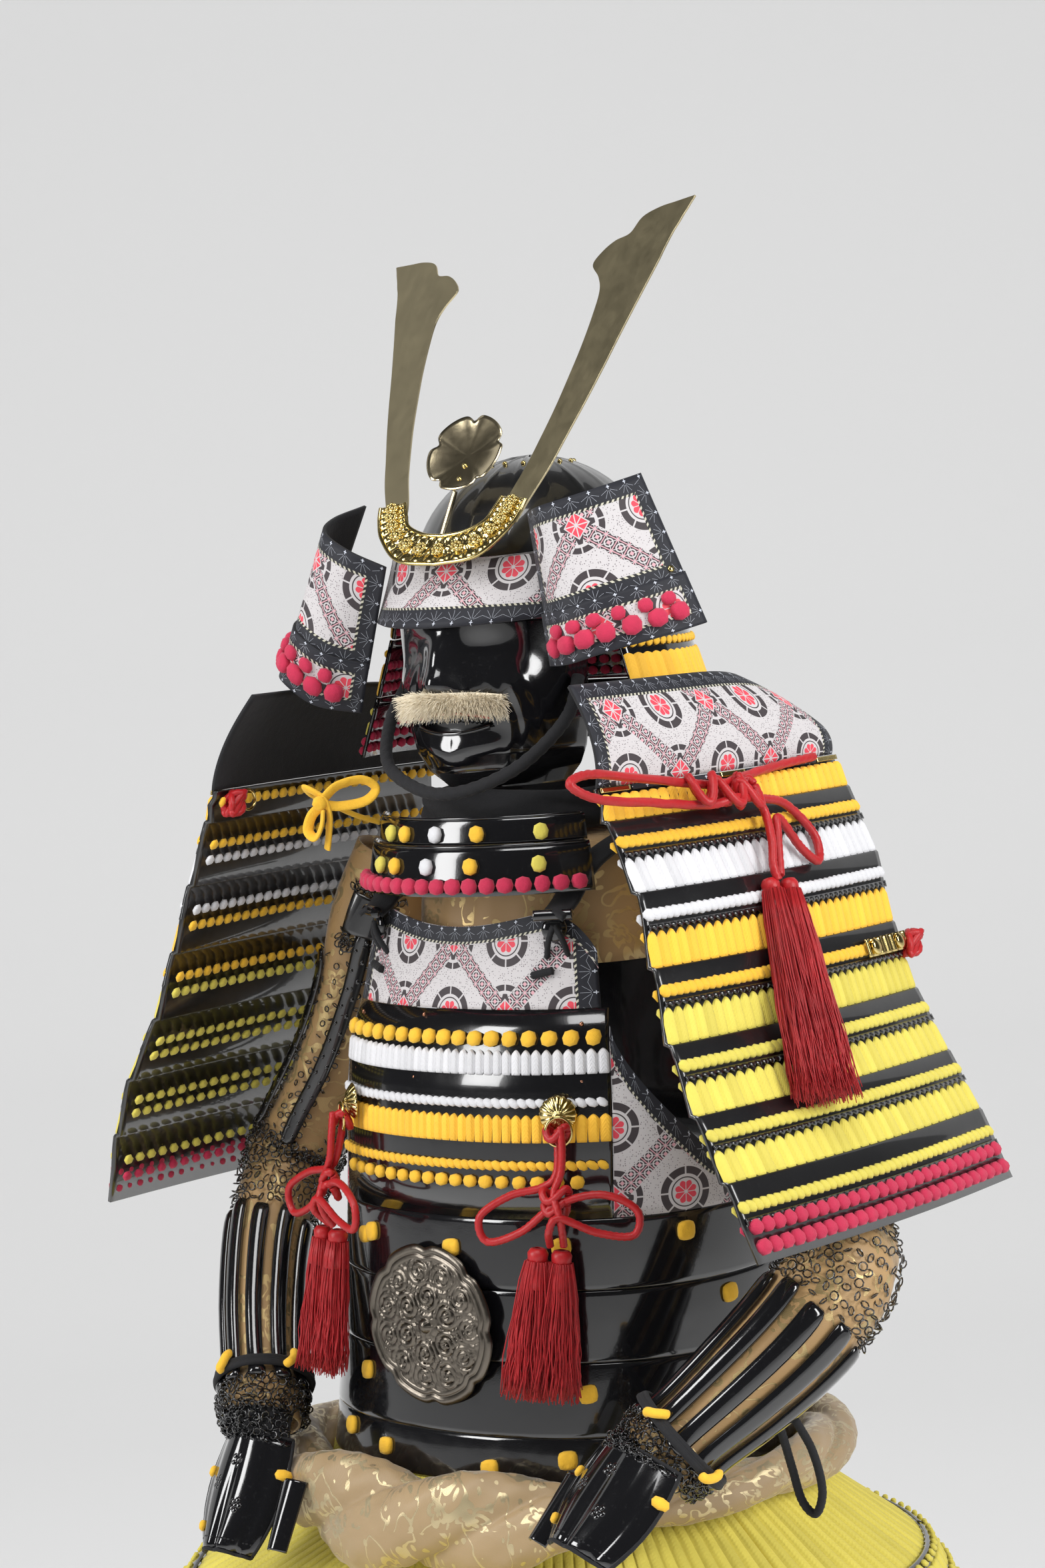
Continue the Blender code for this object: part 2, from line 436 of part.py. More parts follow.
c = np.array(SODE_CORD)
cord("sode_cord", "red_cord", smooth_path(beside_sode(c[:, 0], c[:, 1], c[:, 2]), 36), 0.0036)
tassel("sode_tassel", beside_sode(-0.058, -0.092, 0.016), beside_sode(-0.104, -0.258, 0.024), (1, -0.35, 0.45), 0.040, 0.015, 0.019, 0.010)

# Sleeves: a tube of brocade and mail from shoulder to wrist
# A row for each section: centre x, y, z, half width towards the side, half width front to back
ARMS = {
    "left": [(0.162, 0.0, -0.082, 0.040, 0.056), (0.190, -0.010, -0.140, 0.040, 0.056), (0.216, -0.015, -0.210, 0.036, 0.052), (0.244, -0.025, -0.285, 0.035, 0.050),
             (0.278, -0.040, -0.348, 0.035, 0.047), (0.308, -0.058, -0.392, 0.041, 0.046), (0.294, -0.094, -0.432, 0.041, 0.044), (0.262, -0.130, -0.474, 0.037, 0.040),
             (0.228, -0.162, -0.510, 0.033, 0.034), (0.217, -0.173, -0.522, 0.039, 0.038), (0.207, -0.185, -0.535, 0.034, 0.034)],
    "right": [(0.162, 0.0, -0.082, 0.040, 0.056), (0.190, -0.010, -0.140, 0.040, 0.056), (0.214, -0.015, -0.205, 0.034, 0.052), (0.240, -0.025, -0.265, 0.034, 0.050),
              (0.268, -0.040, -0.315, 0.035, 0.044), (0.282, -0.056, -0.352, 0.036, 0.041), (0.274, -0.094, -0.405, 0.031, 0.036), (0.252, -0.130, -0.458, 0.029, 0.034),
              (0.227, -0.161, -0.510, 0.028, 0.031), (0.218, -0.173, -0.527, 0.034, 0.035), (0.211, -0.184, -0.545, 0.032, 0.033)],
}


def arm_frame(rows, steps, side):
    """Centre, two cross directions and half widths at steps along an arm."""
    line = smooth_path(rows, steps)
    mid, wide = line[:, :3] * [side, 1, 1], line[:, 3:]
    run = np.gradient(mid, axis=0)
    run /= np.linalg.norm(run, axis=1)[:, None]
    s = np.array([1.0, 0, 0]) - run * run[:, :1]
    s /= np.linalg.norm(s, axis=1)[:, None]
    return mid, s, np.cross(run, s), wide, run


ang = np.linspace(0, 2 * np.pi, 13)
for side, name in ((1, "left"), (-1, "right")):
    mid, s, q, wide, run = arm_frame(ARMS[name], 16, side)
    ring = mid[:, None] + (wide[:, :1] * np.cos(ang))[..., None] * s[:, None] + (wide[:, 1:] * np.sin(ang))[..., None] * q[:, None]
    shell(f"sleeve_{name}", "brocade", ring, CLOTH, closed=True)
    # Forearm splints: seven raised ridges on a shell round the outside of the forearm
    part = slice(9, 14)
    arc = np.linspace(-0.9, 0.9, 22) * np.pi + (np.pi * 1.25 if side > 0 else np.pi * 1.75)
    ridge = 0.0010 + 0.0032 * (np.arange(22) % 3 != 0)
    m, ss, qq, ww = mid[part], s[part], q[part], wide[part]
    ring = m[:, None] + ((ww[:, :1] + ridge + 0.0022) * np.cos(arc))[..., None] * ss[:, None] + ((ww[:, 1:] + ridge + 0.0022) * np.sin(arc))[..., None] * qq[:, None]
    shell(f"forearm_splints_{name}", "lacquer", ring, 0.002)

# Hand guards: a ridged plate over the back of the hand and a small one over the thumb
HANDS = {"left": ((0.2085, -0.1960, -0.5248), (0.186, -0.252, -0.592)), "right": ((0.2073, -0.1880, -0.5560), (0.205, -0.238, -0.645))}
for side, name in ((1, "left"), (-1, "right")):
    a, b = (np.array(p) * [side, 1, 1] for p in HANDS[name])
    run = (b - a) / np.linalg.norm(b - a)
    s = np.cross([0, -0.5, 1], run)
    s /= np.linalg.norm(s)
    up = np.cross(run, s)
    v = np.linspace(0, 1, 6)[:, None]
    w = np.linspace(-1, 1, 9)
    half = (0.046 if side > 0 else 0.036) + 0.006 * np.sin(np.pi * v) - 0.010 * v**3
    arch = 0.022 * (1 - np.abs(w) ** 2.2) + 0.003 * (np.abs(np.sin(w * np.pi * 1.5)) > 0.5)
    xyz = a + (v * np.linalg.norm(b - a))[..., None] * run + (half * w)[..., None] * s + (arch + 0 * v)[..., None] * up
    shell(f"hand_guard_{name}", "lacquer", xyz, 0.0022)
    root = a + run * 0.034 - side * s * (0.0585 if side > 0 else 0.054) + up * (-0.0060 if side > 0 else 0.0057)
    w = np.linspace(-1, 1, 5)
    v = np.linspace(0, 1, 5)[:, None]
    xyz = root + (v * 0.060)[..., None] * run + ((0.013 - 0.003 * v) * w)[..., None] * s + (0.008 * (1 - w**2) + 0 * v)[..., None] * up
    shell(f"thumb_guard_{name}", "lacquer", xyz, 0.002)

# Sash: a twisted roll of brocade round the waist, knotted in front
def knot(phi):
    """How much of the knot in front there is at an angle round the waist, 0 to 1."""
    return np.clip(np.cos(np.radians((phi + 12 + 180) % 360 - 180) * 90 / 66), 0, 1) ** 0.8


phi = np.linspace(0, 360, 37)
bulk = knot(phi)
ring = torso(phi, -0.581 + 0 * phi, 0.028 + 0.006 * bulk) - np.array([0, 0, 0.024]) * bulk[:, None]
turn = np.linspace(0, 2 * np.pi, 9)
grow = 1 + 0.14 * np.cos(2 * turn[None, :] - np.radians(9 * phi[:, None]))
f = np.radians(phi)
xyz = ring[:, None] + ((0.0205 + 0.0055 * bulk[:, None]) * grow * np.cos(turn))[..., None] * stack(np.sin(f), -np.cos(f), 0 * f)[:, None]
xyz = xyz + ((0.0200 + 0.0225 * bulk[:, None]) * grow * np.sin(turn))[..., None] * np.array([0, 0, 1])
bm = bmesh.new()
bmesh.ops.create_grid(bm, x_segments=8, y_segments=36, size=1)
for vert, point in zip(bm.verts, xyz.reshape(-1, 3)):
    vert.co = point
bmesh.ops.remove_doubles(bm, verts=bm.verts[:], dist=1e-6)
bmesh.ops.recalc_face_normals(bm, faces=bm.faces[:])
mesh = bpy.data.meshes.new("sash")
bm.to_mesh(mesh)
bm.free()
mesh.shade_smooth()
finish("sash", "brocade", mesh)

# Skirt: seven laced panels that hang from the last hoop by their lacing, pass under the sash and flare over the lap
# A row for each level: height, distance out from the waist
SKIRT = [(-0.5760, 0.0), (-0.6020, 0.002), (-0.6160, 0.020), (-0.6500, 0.066), (-0.6750, 0.100), (-0.6770, 0.104),
         (-0.6970, 0.114), (-0.6990, 0.118), (-0.7190, 0.126), (-0.7210, 0.130), (-0.7400, 0.136)]
skirt = np.array(SKIRT)
for i in range(7):
    phi = (i * 360 / 7 + np.linspace(-1, 1, 5) * 25.0)[None, :]
    level, away = skirt[:, :1], skirt[:, 1:] * (1 + 0.35 * np.clip(np.cos(np.radians(phi + 60)), 0, 1))
    low = 0.052 * knot(phi % 360) * (level < -0.59)
    xyz = torso(phi, -0.58 + 0 * away, away)
    xyz[..., 2] = level - low
    shell(f"skirt_panel_{i + 1}", "lacquer", xyz, 0.003)
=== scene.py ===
"""Looks of the samurai armour: lacquer, printed leather, silk lacing, cords, brocade, mail and fittings."""
import bmesh
import bpy
import numpy as np
from mathutils import Matrix, Vector


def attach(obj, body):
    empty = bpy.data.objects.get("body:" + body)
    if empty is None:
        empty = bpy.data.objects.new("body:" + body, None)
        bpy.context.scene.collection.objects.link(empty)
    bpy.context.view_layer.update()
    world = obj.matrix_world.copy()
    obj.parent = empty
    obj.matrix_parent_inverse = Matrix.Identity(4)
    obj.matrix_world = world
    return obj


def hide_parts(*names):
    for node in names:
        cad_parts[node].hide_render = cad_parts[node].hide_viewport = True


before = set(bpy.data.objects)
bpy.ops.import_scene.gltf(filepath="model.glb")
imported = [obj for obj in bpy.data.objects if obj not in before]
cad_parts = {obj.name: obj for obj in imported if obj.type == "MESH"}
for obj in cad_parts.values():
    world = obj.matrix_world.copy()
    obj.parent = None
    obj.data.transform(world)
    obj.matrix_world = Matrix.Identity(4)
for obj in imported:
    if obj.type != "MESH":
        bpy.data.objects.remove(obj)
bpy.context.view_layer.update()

# Camera at the height of the throat, to the wearer's left of the front, as the photograph was taken: its
# place in metres, its lens in millimetres, and the three ways that it is turned to.
PLACE, LENS, FILM_WIDTH, SEES_TO = (1.9442, -2.3574, 0.19), 84.15, 36.0, 80.0
eye = bpy.data.cameras.new("camera")
eye.lens, eye.sensor_width, eye.clip_end = LENS, FILM_WIDTH, SEES_TO
camera = bpy.data.objects.new("camera", eye)
bpy.context.scene.collection.objects.link(camera)
right, above, ahead = (0.7673, 0.6381, -0.0642), (0.0053, 0.0938, 0.9956), (-0.6413, 0.7642, -0.0685)
place = Matrix([(*r, 0) for r in zip(right, above, [-a for a in ahead])] + [(0, 0, 0, 1)])
place.translation = PLACE
camera.matrix_world = place
bpy.context.scene.camera = camera


# Studio: a pale backdrop that sweeps up from the floor behind the armour, two tall soft lights at the sides
# and one overhead. Shiny surfaces see a darker room than matt ones, as black flags beside the lights would
# make it.
def cells(rows, cols):
    """Corner numbers of the cells of a grid of points."""
    at = np.arange(rows * cols).reshape(rows, cols)
    return np.stack([at[:-1, :-1], at[1:, :-1], at[1:, 1:], at[:-1, 1:]], -1).reshape(-1, 4)


def stack(x, y, z):
    """Points from their three coordinates, which may be of unlike shapes."""
    return np.stack(np.broadcast_arrays(x, y, z), -1)


sweep = np.array([(-9.0, -1.50), (2.6, -1.50), (4.2, -1.38), (5.4, -0.9), (6.1, 0.0), (6.5, 1.5), (6.6, 9.0)])
turn = np.arctan2(-PLACE[0], -PLACE[1])
along, wide = np.linspace(0, 1, 60), np.linspace(-14, 14, 3)
step = np.concatenate([[0], np.cumsum(np.linalg.norm(np.diff(sweep, axis=0), axis=1))])
reach, tall = np.interp(along, step / step[-1], sweep[:, 0]), np.interp(along, step / step[-1], sweep[:, 1])
reach, tall = reach[:, None], tall[:, None]
xyz = stack(reach * np.sin(turn) + wide * np.cos(turn), reach * np.cos(turn) - wide * np.sin(turn), tall)
mesh = bpy.data.meshes.new("backdrop")
mesh.from_pydata(xyz.reshape(-1, 3).tolist(), [], cells(60, 3).tolist())
mesh.shade_smooth()
paper = bpy.data.materials.new("paper")
paper.use_nodes = True
matt = paper.node_tree.nodes["Principled BSDF"].inputs
matt["Base Color"].default_value = (0.78, 0.78, 0.78, 1)
matt["Roughness"].default_value = 1.0
mesh.materials.append(paper)
backdrop = bpy.data.objects.new("backdrop", mesh)
bpy.context.scene.collection.objects.link(backdrop)

world = bpy.data.worlds.new("studio")
world.use_nodes = True
room = world.node_tree.nodes["Background"].inputs
room[0].default_value = (1, 1, 1, 1)
room[1].default_value = 0.80
ray = world.node_tree.nodes.new("ShaderNodeLightPath")
dim = world.node_tree.nodes.new("ShaderNodeMath")
dim.operation = "MULTIPLY_ADD"
dim.inputs[1].default_value, dim.inputs[2].default_value = -0.73, 0.78
world.node_tree.links.new(ray.outputs["Is Glossy Ray"], dim.inputs[0])
world.node_tree.links.new(dim.outputs[0], room[1])
bpy.context.scene.world = world
bpy.context.scene.view_settings.view_transform = "Standard"


def soft_light(name, where, aim, power, width, height):
    """A soft box: a rectangle of light that looks from its place to its aim."""
    lamp = bpy.data.lights.new(name, "AREA")
    lamp.shape, lamp.energy, lamp.size, lamp.size_y = "RECTANGLE", power, width, height
    obj = bpy.data.objects.new(name, lamp)
    bpy.context.scene.collection.objects.link(obj)
    away = Vector(where) - Vector(aim)
    obj.matrix_world = Matrix.Translation(where) @ away.to_track_quat("Z", "Y").to_matrix().to_4x4()


soft_light("left_box", (-1.3, -2.7, 0.9), (0, 0, -0.1), 55, 0.9, 1.9)
soft_light("right_box", (2.9, 0.1, 0.9), (0, 0, -0.2), 60, 0.9, 1.9)
soft_light("top_box", (0.9, -1.6, 3.0), (0, 0, 0), 50, 1.6, 1.6)


class Field:
    """A number that varies over a surface. Sums and comparisons of fields become Math nodes in its
    material."""

    def __init__(self, tree, socket):
        self.tree, self.socket = tree, socket

    def do(self, operation, *others):
        node = self.tree.nodes.new("ShaderNodeMath")
        node.operation = operation
        for slot, value in zip(node.inputs, (self, *others)):
            if isinstance(value, Field):
                self.tree.links.new(value.socket, slot)
            else:
                slot.default_value = value
        return Field(self.tree, node.outputs[0])

    def __add__(self, other):
        return self.do("ADD", other)

    def __sub__(self, other):
        return self.do("SUBTRACT", other)

    def __mul__(self, other):
        return self.do("MULTIPLY", other)

    def __truediv__(self, other):
        return self.do("DIVIDE", other)

    def __lt__(self, other):
        return self.do("LESS_THAN", other)

    def __gt__(self, other):
        return self.do("GREATER_THAN", other)

    def wave(self):
        return self.do("SINE")

    def size(self):
        return self.do("ABSOLUTE")

    def within(self, low, high):
        return (self > low) * (self < high)

    def either(self, other):
        return self.do("MAXIMUM", other)

    def near_whole(self):
        """How far the number is from the nearest whole number, with its sign."""
        return self - (self + 0.5).do("FLOOR")


class Finish:
    """A material under way: its shader, and short ways to add patterns to it."""

    def __init__(self, name, colour, rough, metal=0.0, **more):
        self.mat = bpy.data.materials.new(name)
        self.mat.use_nodes = True
        self.tree = self.mat.node_tree
        self.shader = self.tree.nodes["Principled BSDF"]
        self.put("Base Color", colour)
        self.put("Roughness", rough)
        self.put("Metallic", metal)
        for key, value in more.items():
            self.put(key.replace("_", " "), value)
        self.where = self.tree.nodes.new("ShaderNodeTexCoord")

    def put(self, name, value):
        socket = self.shader.inputs[name]
        if isinstance(value, Field):
            self.tree.links.new(value.socket, socket)
        elif isinstance(value, tuple) and len(value) == 3 and name.endswith(("Color", "Tint")):
            socket.default_value = (*value, 1)
        else:
            socket.default_value = value

    def add(self, kind, output=0, settings=None, **inputs):
        node = self.tree.nodes.new("ShaderNode" + kind)
        for key, value in (settings or {}).items():
            setattr(node, key, value)
        for key, value in inputs.items():
            if isinstance(value, Field):
                self.tree.links.new(value.socket, node.inputs[key])
            elif isinstance(value, bpy.types.NodeSocket):
                self.tree.links.new(value, node.inputs[key])
            else:
                node.inputs[key].default_value = value
        return Field(self.tree, node.outputs[output])

    def vector(self, operation, first, second):
        """The sum or the difference of two vectors."""
        node = self.tree.nodes.new("ShaderNodeVectorMath")
        node.operation = operation
        self.tree.links.new(first, node.inputs[0])
        self.tree.links.new(second, node.inputs[1])
        return Field(self.tree, node.outputs[0])

    def cloth_at(self):
        """Across and along the piece's own sheet, in metres."""
        parts = self.tree.nodes.new("ShaderNodeSeparateXYZ")
        self.tree.links.new(self.where.outputs["UV"], parts.inputs[0])
        return Field(self.tree, parts.outputs[0]), Field(self.tree, parts.outputs[1])

    def noise(self, scale, detail=3.0, rough=0.5, at="Object", stretch=None):
        spot = self.where.outputs[at]
        if stretch:
            spot = self.add("Mapping", Vector=spot, Scale=stretch).socket
        return self.add("TexNoise", Vector=spot, Scale=scale, Detail=detail, Roughness=rough)

    def mix(self, share, low, high):
        """A colour part way from low to high."""
        node = self.tree.nodes.new("ShaderNodeMix")
        node.data_type = "RGBA"
        for slot, value in zip((node.inputs[0], node.inputs[6], node.inputs[7]), (share, low, high)):
            if isinstance(value, Field):
                self.tree.links.new(value.socket, slot)
            elif isinstance(value, tuple):
                slot.default_value = (*value, 1)
            else:
                slot.default_value = value
        return Field(self.tree, node.outputs[2])

    def bump(self, height, depth, strength=1.0):
        """Raises the surface by a field of 0 to 1, depth metres at most."""
        node = self.tree.nodes.new("ShaderNodeBump")
        node.inputs["Distance"].default_value = depth
        node.inputs["Strength"].default_value = strength
        self.tree.links.new(height.socket, node.inputs["Height"])
        last = self.shader.inputs["Normal"].links
        if last:
            self.tree.links.new(last[0].from_socket, node.inputs["Normal"])
        self.tree.links.new(node.outputs[0], self.shader.inputs["Normal"])
        return self


def crossed(points, faces):
    """The normal of each face, as long as twice its area."""
    corner = points.reshape(-1, 3)[faces]
    return np.cross(corner[:, 2] - corner[:, 0], corner[:, 3] - corner[:, 1])


def place_mesh(name, points, faces, mat, slot, nodes=(), uv=None, look=None, weld=False, wall=0.0, flat=False,
               lining=None):
    """Puts points and four-sided faces into a mesh. look is the way that its faces should look on the whole,
    and without it the faces are turned so that the closed form has its volume inside. lining is the finish of
    the wall's other side."""
    points, faces = np.asarray(points, float).reshape(-1, 3), np.asarray(faces)
    normal = crossed(points, faces)
    if look is None:
        inside = (normal * (points[faces].mean(1) - points.mean(0))).sum() < 0
    else:
        inside = (normal @ np.asarray(look, float)).sum() < 0
    if inside:
        faces = faces[:, ::-1]
    mesh = bpy.data.meshes.new(name)
    mesh.from_pydata(points.tolist(), [], faces.tolist())
    if uv is not None:
        spread = np.asarray(uv, float).reshape(-1, 2)[faces.ravel()].ravel()
        mesh.uv_layers.new(name="UVMap").data.foreach_set("uv", spread)
    if weld:
        bm = bmesh.new()
        bm.from_mesh(mesh)
        bmesh.ops.remove_doubles(bm, verts=bm.verts[:], dist=2e-6)
        bmesh.ops.dissolve_degenerate(bm, edges=bm.edges[:], dist=1e-6)
        bm.to_mesh(mesh)
        bm.free()
    if not flat:
        mesh.shade_smooth()
    mesh.materials.append(mat.mat)
    obj = bpy.data.objects.new(name, mesh)
    bpy.context.scene.collection.objects.link(obj)
    if wall:
        mod = obj.modifiers.new("wall", "SOLIDIFY")
        mod.thickness, mod.offset, mod.use_even_offset = wall, 0, True
        if lining:
            mesh.materials.append(lining.mat)
            mod.material_offset, mod.material_offset_rim = 1, 1
    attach(obj, "root")
    if nodes:
        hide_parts(*nodes)
    return obj


def sheet_uv(xyz):
    """Distances along the rows from their middle, and down the columns, in metres."""
    along = np.cumsum(np.linalg.norm(np.diff(xyz, axis=1, prepend=xyz[:, :1]), axis=-1), 1)
    down = np.cumsum(np.linalg.norm(np.diff(xyz, axis=0, prepend=xyz[:1]), axis=-1), 0)
    return np.stack([along - along[:, -1:] / 2, -down], -1)


def plate(name, xyz, mat, slot, nodes=(), wall=0.0, **more):
    """A sheet through a grid of points, rows by columns."""
    more.setdefault("uv", sheet_uv(xyz))
    return place_mesh(name, xyz, cells(*xyz.shape[:2]), mat, slot, nodes, wall=wall, **more)


def smooth_path(points, count):
    """A Catmull-Rom line through the points, resampled to count points."""
    p = np.array(points, float)
    p = np.vstack([2 * p[0] - p[1], p, 2 * p[-1] - p[-2]])
    t = np.linspace(0, len(p) - 3 - 1e-9, count)
    i, f = t.astype(int), (t % 1)[:, None]
    a, b, c, d = p[i], p[i + 1], p[i + 2], p[i + 3]
    return 0.5 * (2 * b + (c - a) * f + (2 * a - 5 * b + 4 * c - d) * f**2 + (3 * b - a - 3 * c + d) * f**3)


def table(rows, at, column):
    """Reads one column of a table at the places asked for, between its rows."""
    rows = np.array(rows, float)
    order = np.argsort(rows[:, 0])
    return np.interp(at, rows[order, 0], rows[order, column])


def unit(vectors):
    """The vectors, each made one metre long."""
    return vectors / np.maximum(np.linalg.norm(vectors, axis=-1, keepdims=True), 1e-12)


# Black lacquer over iron and hide. It is brushed on in coats and polished, so it has a hard coat with faint
# waves, and on the bowl and the shoulder guards it is rubbed to a satin.
def lacquer(name, rough=0.10):
    """Near black, with a clear coat over it, broad shallow waves and a fine grain."""
    mat = Finish(name, (0.006, 0.006, 0.007), rough, Coat_Weight=1.0, Coat_Roughness=0.05,
                 Specular_IOR_Level=0.55)
    mat.put("Roughness", mat.noise(40, 4) * 0.10 + (rough - 0.03))
    mat.put("Base Color", mat.mix(mat.noise(300, 2) > 0.66, (0.005, 0.005, 0.006), (0.010, 0.010, 0.011)))
    return mat.bump(mat.noise(28, 2), 0.00048).bump(mat.noise(900, 2), 0.00003)


gloss = lacquer("black_lacquer")
satin = lacquer("satin_lacquer", 0.30)


# Helmet bowl of iron plates under satin lacquer, riveted together, with a low ring of gilt beads at its
# crown. The head, and with it all that the helmet carries, is turned a little to the wearer's left.
HEAD_YAW, HEAD_SHIFT = 6.5, -0.0105


def head(points):
    """Carries points from the helmet's own square frame to where the head is turned."""
    c, w = np.cos(np.radians(HEAD_YAW)), np.sin(np.radians(HEAD_YAW))
    x, y, z = np.moveaxis(np.asarray(points, float), -1, 0)
    return stack(c * x - w * y + HEAD_SHIFT, w * x + c * y, z)


def bowl(turn, lat, out=0.0):
    """The dome: an ellipse of half widths 100 and 106 mm, 98 mm tall, with faint ridges where its plates
    meet."""
    r = 1 + 0.006 * np.abs(np.cos(turn * 8)) ** 24 + out / 0.1
    wide, deep = 0.100 * r * np.sin(lat) * np.sin(turn), 0.106 * r * np.sin(lat) * np.cos(turn)
    return head(stack(0.004 + wide, 0.004 - deep, 0.153 + 0.098 * r * np.cos(lat)))


turn = np.linspace(0, 2 * np.pi, 161)
lat = np.linspace(0, 1, 17)[:, None] ** 0.85 * np.pi / 2
plate("bowl_plates", bowl(turn, lat), satin, "lacquer", ["helmet_bowl"], wall=0.0022, weld=True)


def copies(index, points, count):
    """The faces of one small form of so many points, repeated for count forms that follow each other."""
    return (index[None] + (np.arange(count) * points)[:, None, None]).reshape(-1, 4)


def beads(name, spots, across, up, out, size, mat, slot, tilt=0.0, fold=0.0, flat=0.0, rings=6, sides=8,
          nodes=(), seed=1):
    """Small rounded lumps, one at each spot. Each is an ellipsoid of the half sizes given, turned by tilt in
    its plane and creased by fold along its slanting middle, where one turn of the cord crosses the other.
    flat squares its outline."""
    spots = np.asarray(spots, float).reshape(-1, 3)
    across, up, out = (np.broadcast_to(np.asarray(a, float), spots.shape) for a in (across, up, out))
    lat = np.linspace(0, np.pi, rings)[:, None]
    turn = np.linspace(0, 2 * np.pi, sides + 1)[None]
    x, y, z = np.sin(lat) * np.cos(turn), np.sin(lat) * np.sin(turn), np.cos(lat) + 0 * turn
    square = (np.abs(x) ** 4 + np.abs(y) ** 4 + 1e-9) ** 0.25 / np.maximum(np.hypot(x, y), 1e-6)
    x, y = x / (1 + flat * (square - 1)), y / (1 + flat * (square - 1))
    crease = 1 - fold * np.exp(-(((x - 0.55 * y) / 0.20) ** 2)) * (z > 0)
    shape = np.stack([x * crease**0.3, y, z * crease], -1)
    rng = np.random.default_rng(seed)
    wobble = 1 + 0.10 * (rng.random((len(spots), 3)) - 0.5)
    angle = tilt + 0.16 * (rng.random(len(spots)) - 0.5) * (fold > 0)
    c, s = np.cos(angle)[:, None], np.sin(angle)[:, None]
    a, b = c * across + s * up, c * up - s * across
    parts = shape[None] * (np.asarray(size) * wobble)[:, None, None, :]
    xyz = spots[:, None, None] + parts[..., :1] * a[:, None, None] + parts[..., 1:2] * b[:, None, None]
    xyz = xyz + parts[..., 2:] * out[:, None, None]
    index = cells(rings, sides + 1)
    faces = copies(index, rings * (sides + 1), len(spots))
    uv = np.stack([turn * size[0] + 0 * lat, lat * size[1] + 0 * turn], -1)
    uv = np.broadcast_to(uv, (len(spots), rings, sides + 1, 2))
    outward = (crossed(shape, index) * shape.reshape(-1, 3)[index].mean(1)).sum()
    if outward * np.linalg.det([a[0], b[0], out[0]]) < 0:
        faces = faces[:, ::-1]
    return place_mesh(name, xyz, faces, mat, slot, nodes, uv=uv, look=crossed(xyz, faces).sum(0) + 1e-9,
                      weld=True)


def metal(name, colour, rough, brushed=0.0, dirt=0.0):
    """Sheet or cast metal: a bright colour, its brushing drawn out along one way, and random dark stains."""
    mat = Finish(name, colour, rough, 1.0)
    grain = mat.noise(60, 5, 0.7, stretch=(1, 1, 0.04) if brushed else None)
    mat.put("Roughness", grain * 0.22 + (rough - 0.10))
    stain = mat.noise(22, 5)
    mat.put("Base Color", mat.mix(stain * dirt, colour, tuple(c * 0.45 for c in colour)))
    return mat.bump(grain, 0.00010)


gilt = metal("gilt", (0.86, 0.68, 0.28), 0.16, dirt=0.6)
brass = metal("horn_brass", (0.80, 0.69, 0.43), 0.34, brushed=1.0, dirt=0.35)
mirror = metal("flower_brass", (0.82, 0.70, 0.46), 0.20, dirt=0.25)
turn, lat = np.arange(14) * 2 * np.pi / 14, 0.36
spots = bowl(turn, lat + 0 * turn, 0.0016)
beads("crown_beads", spots, (1, 0, 0), (0, 1, 0), (0, 0, 1), (0.0022, 0.0022, 0.0022), gilt, "gilt")


# Printed leather: a pale stippled ground with wheels and a floret lattice, edged with black cloth that
# carries small fans and crosses, and a two-coloured braid stitched along the join. The pattern is a plain
# traditional kind.
STEP, FAN_STEP = 0.057, 0.0165


def polar(x, y):
    """How far a spot is from the middle of its cell, and in what direction."""
    return (x * x + y * y).do("SQRT"), y.do("ARCTAN2", x)


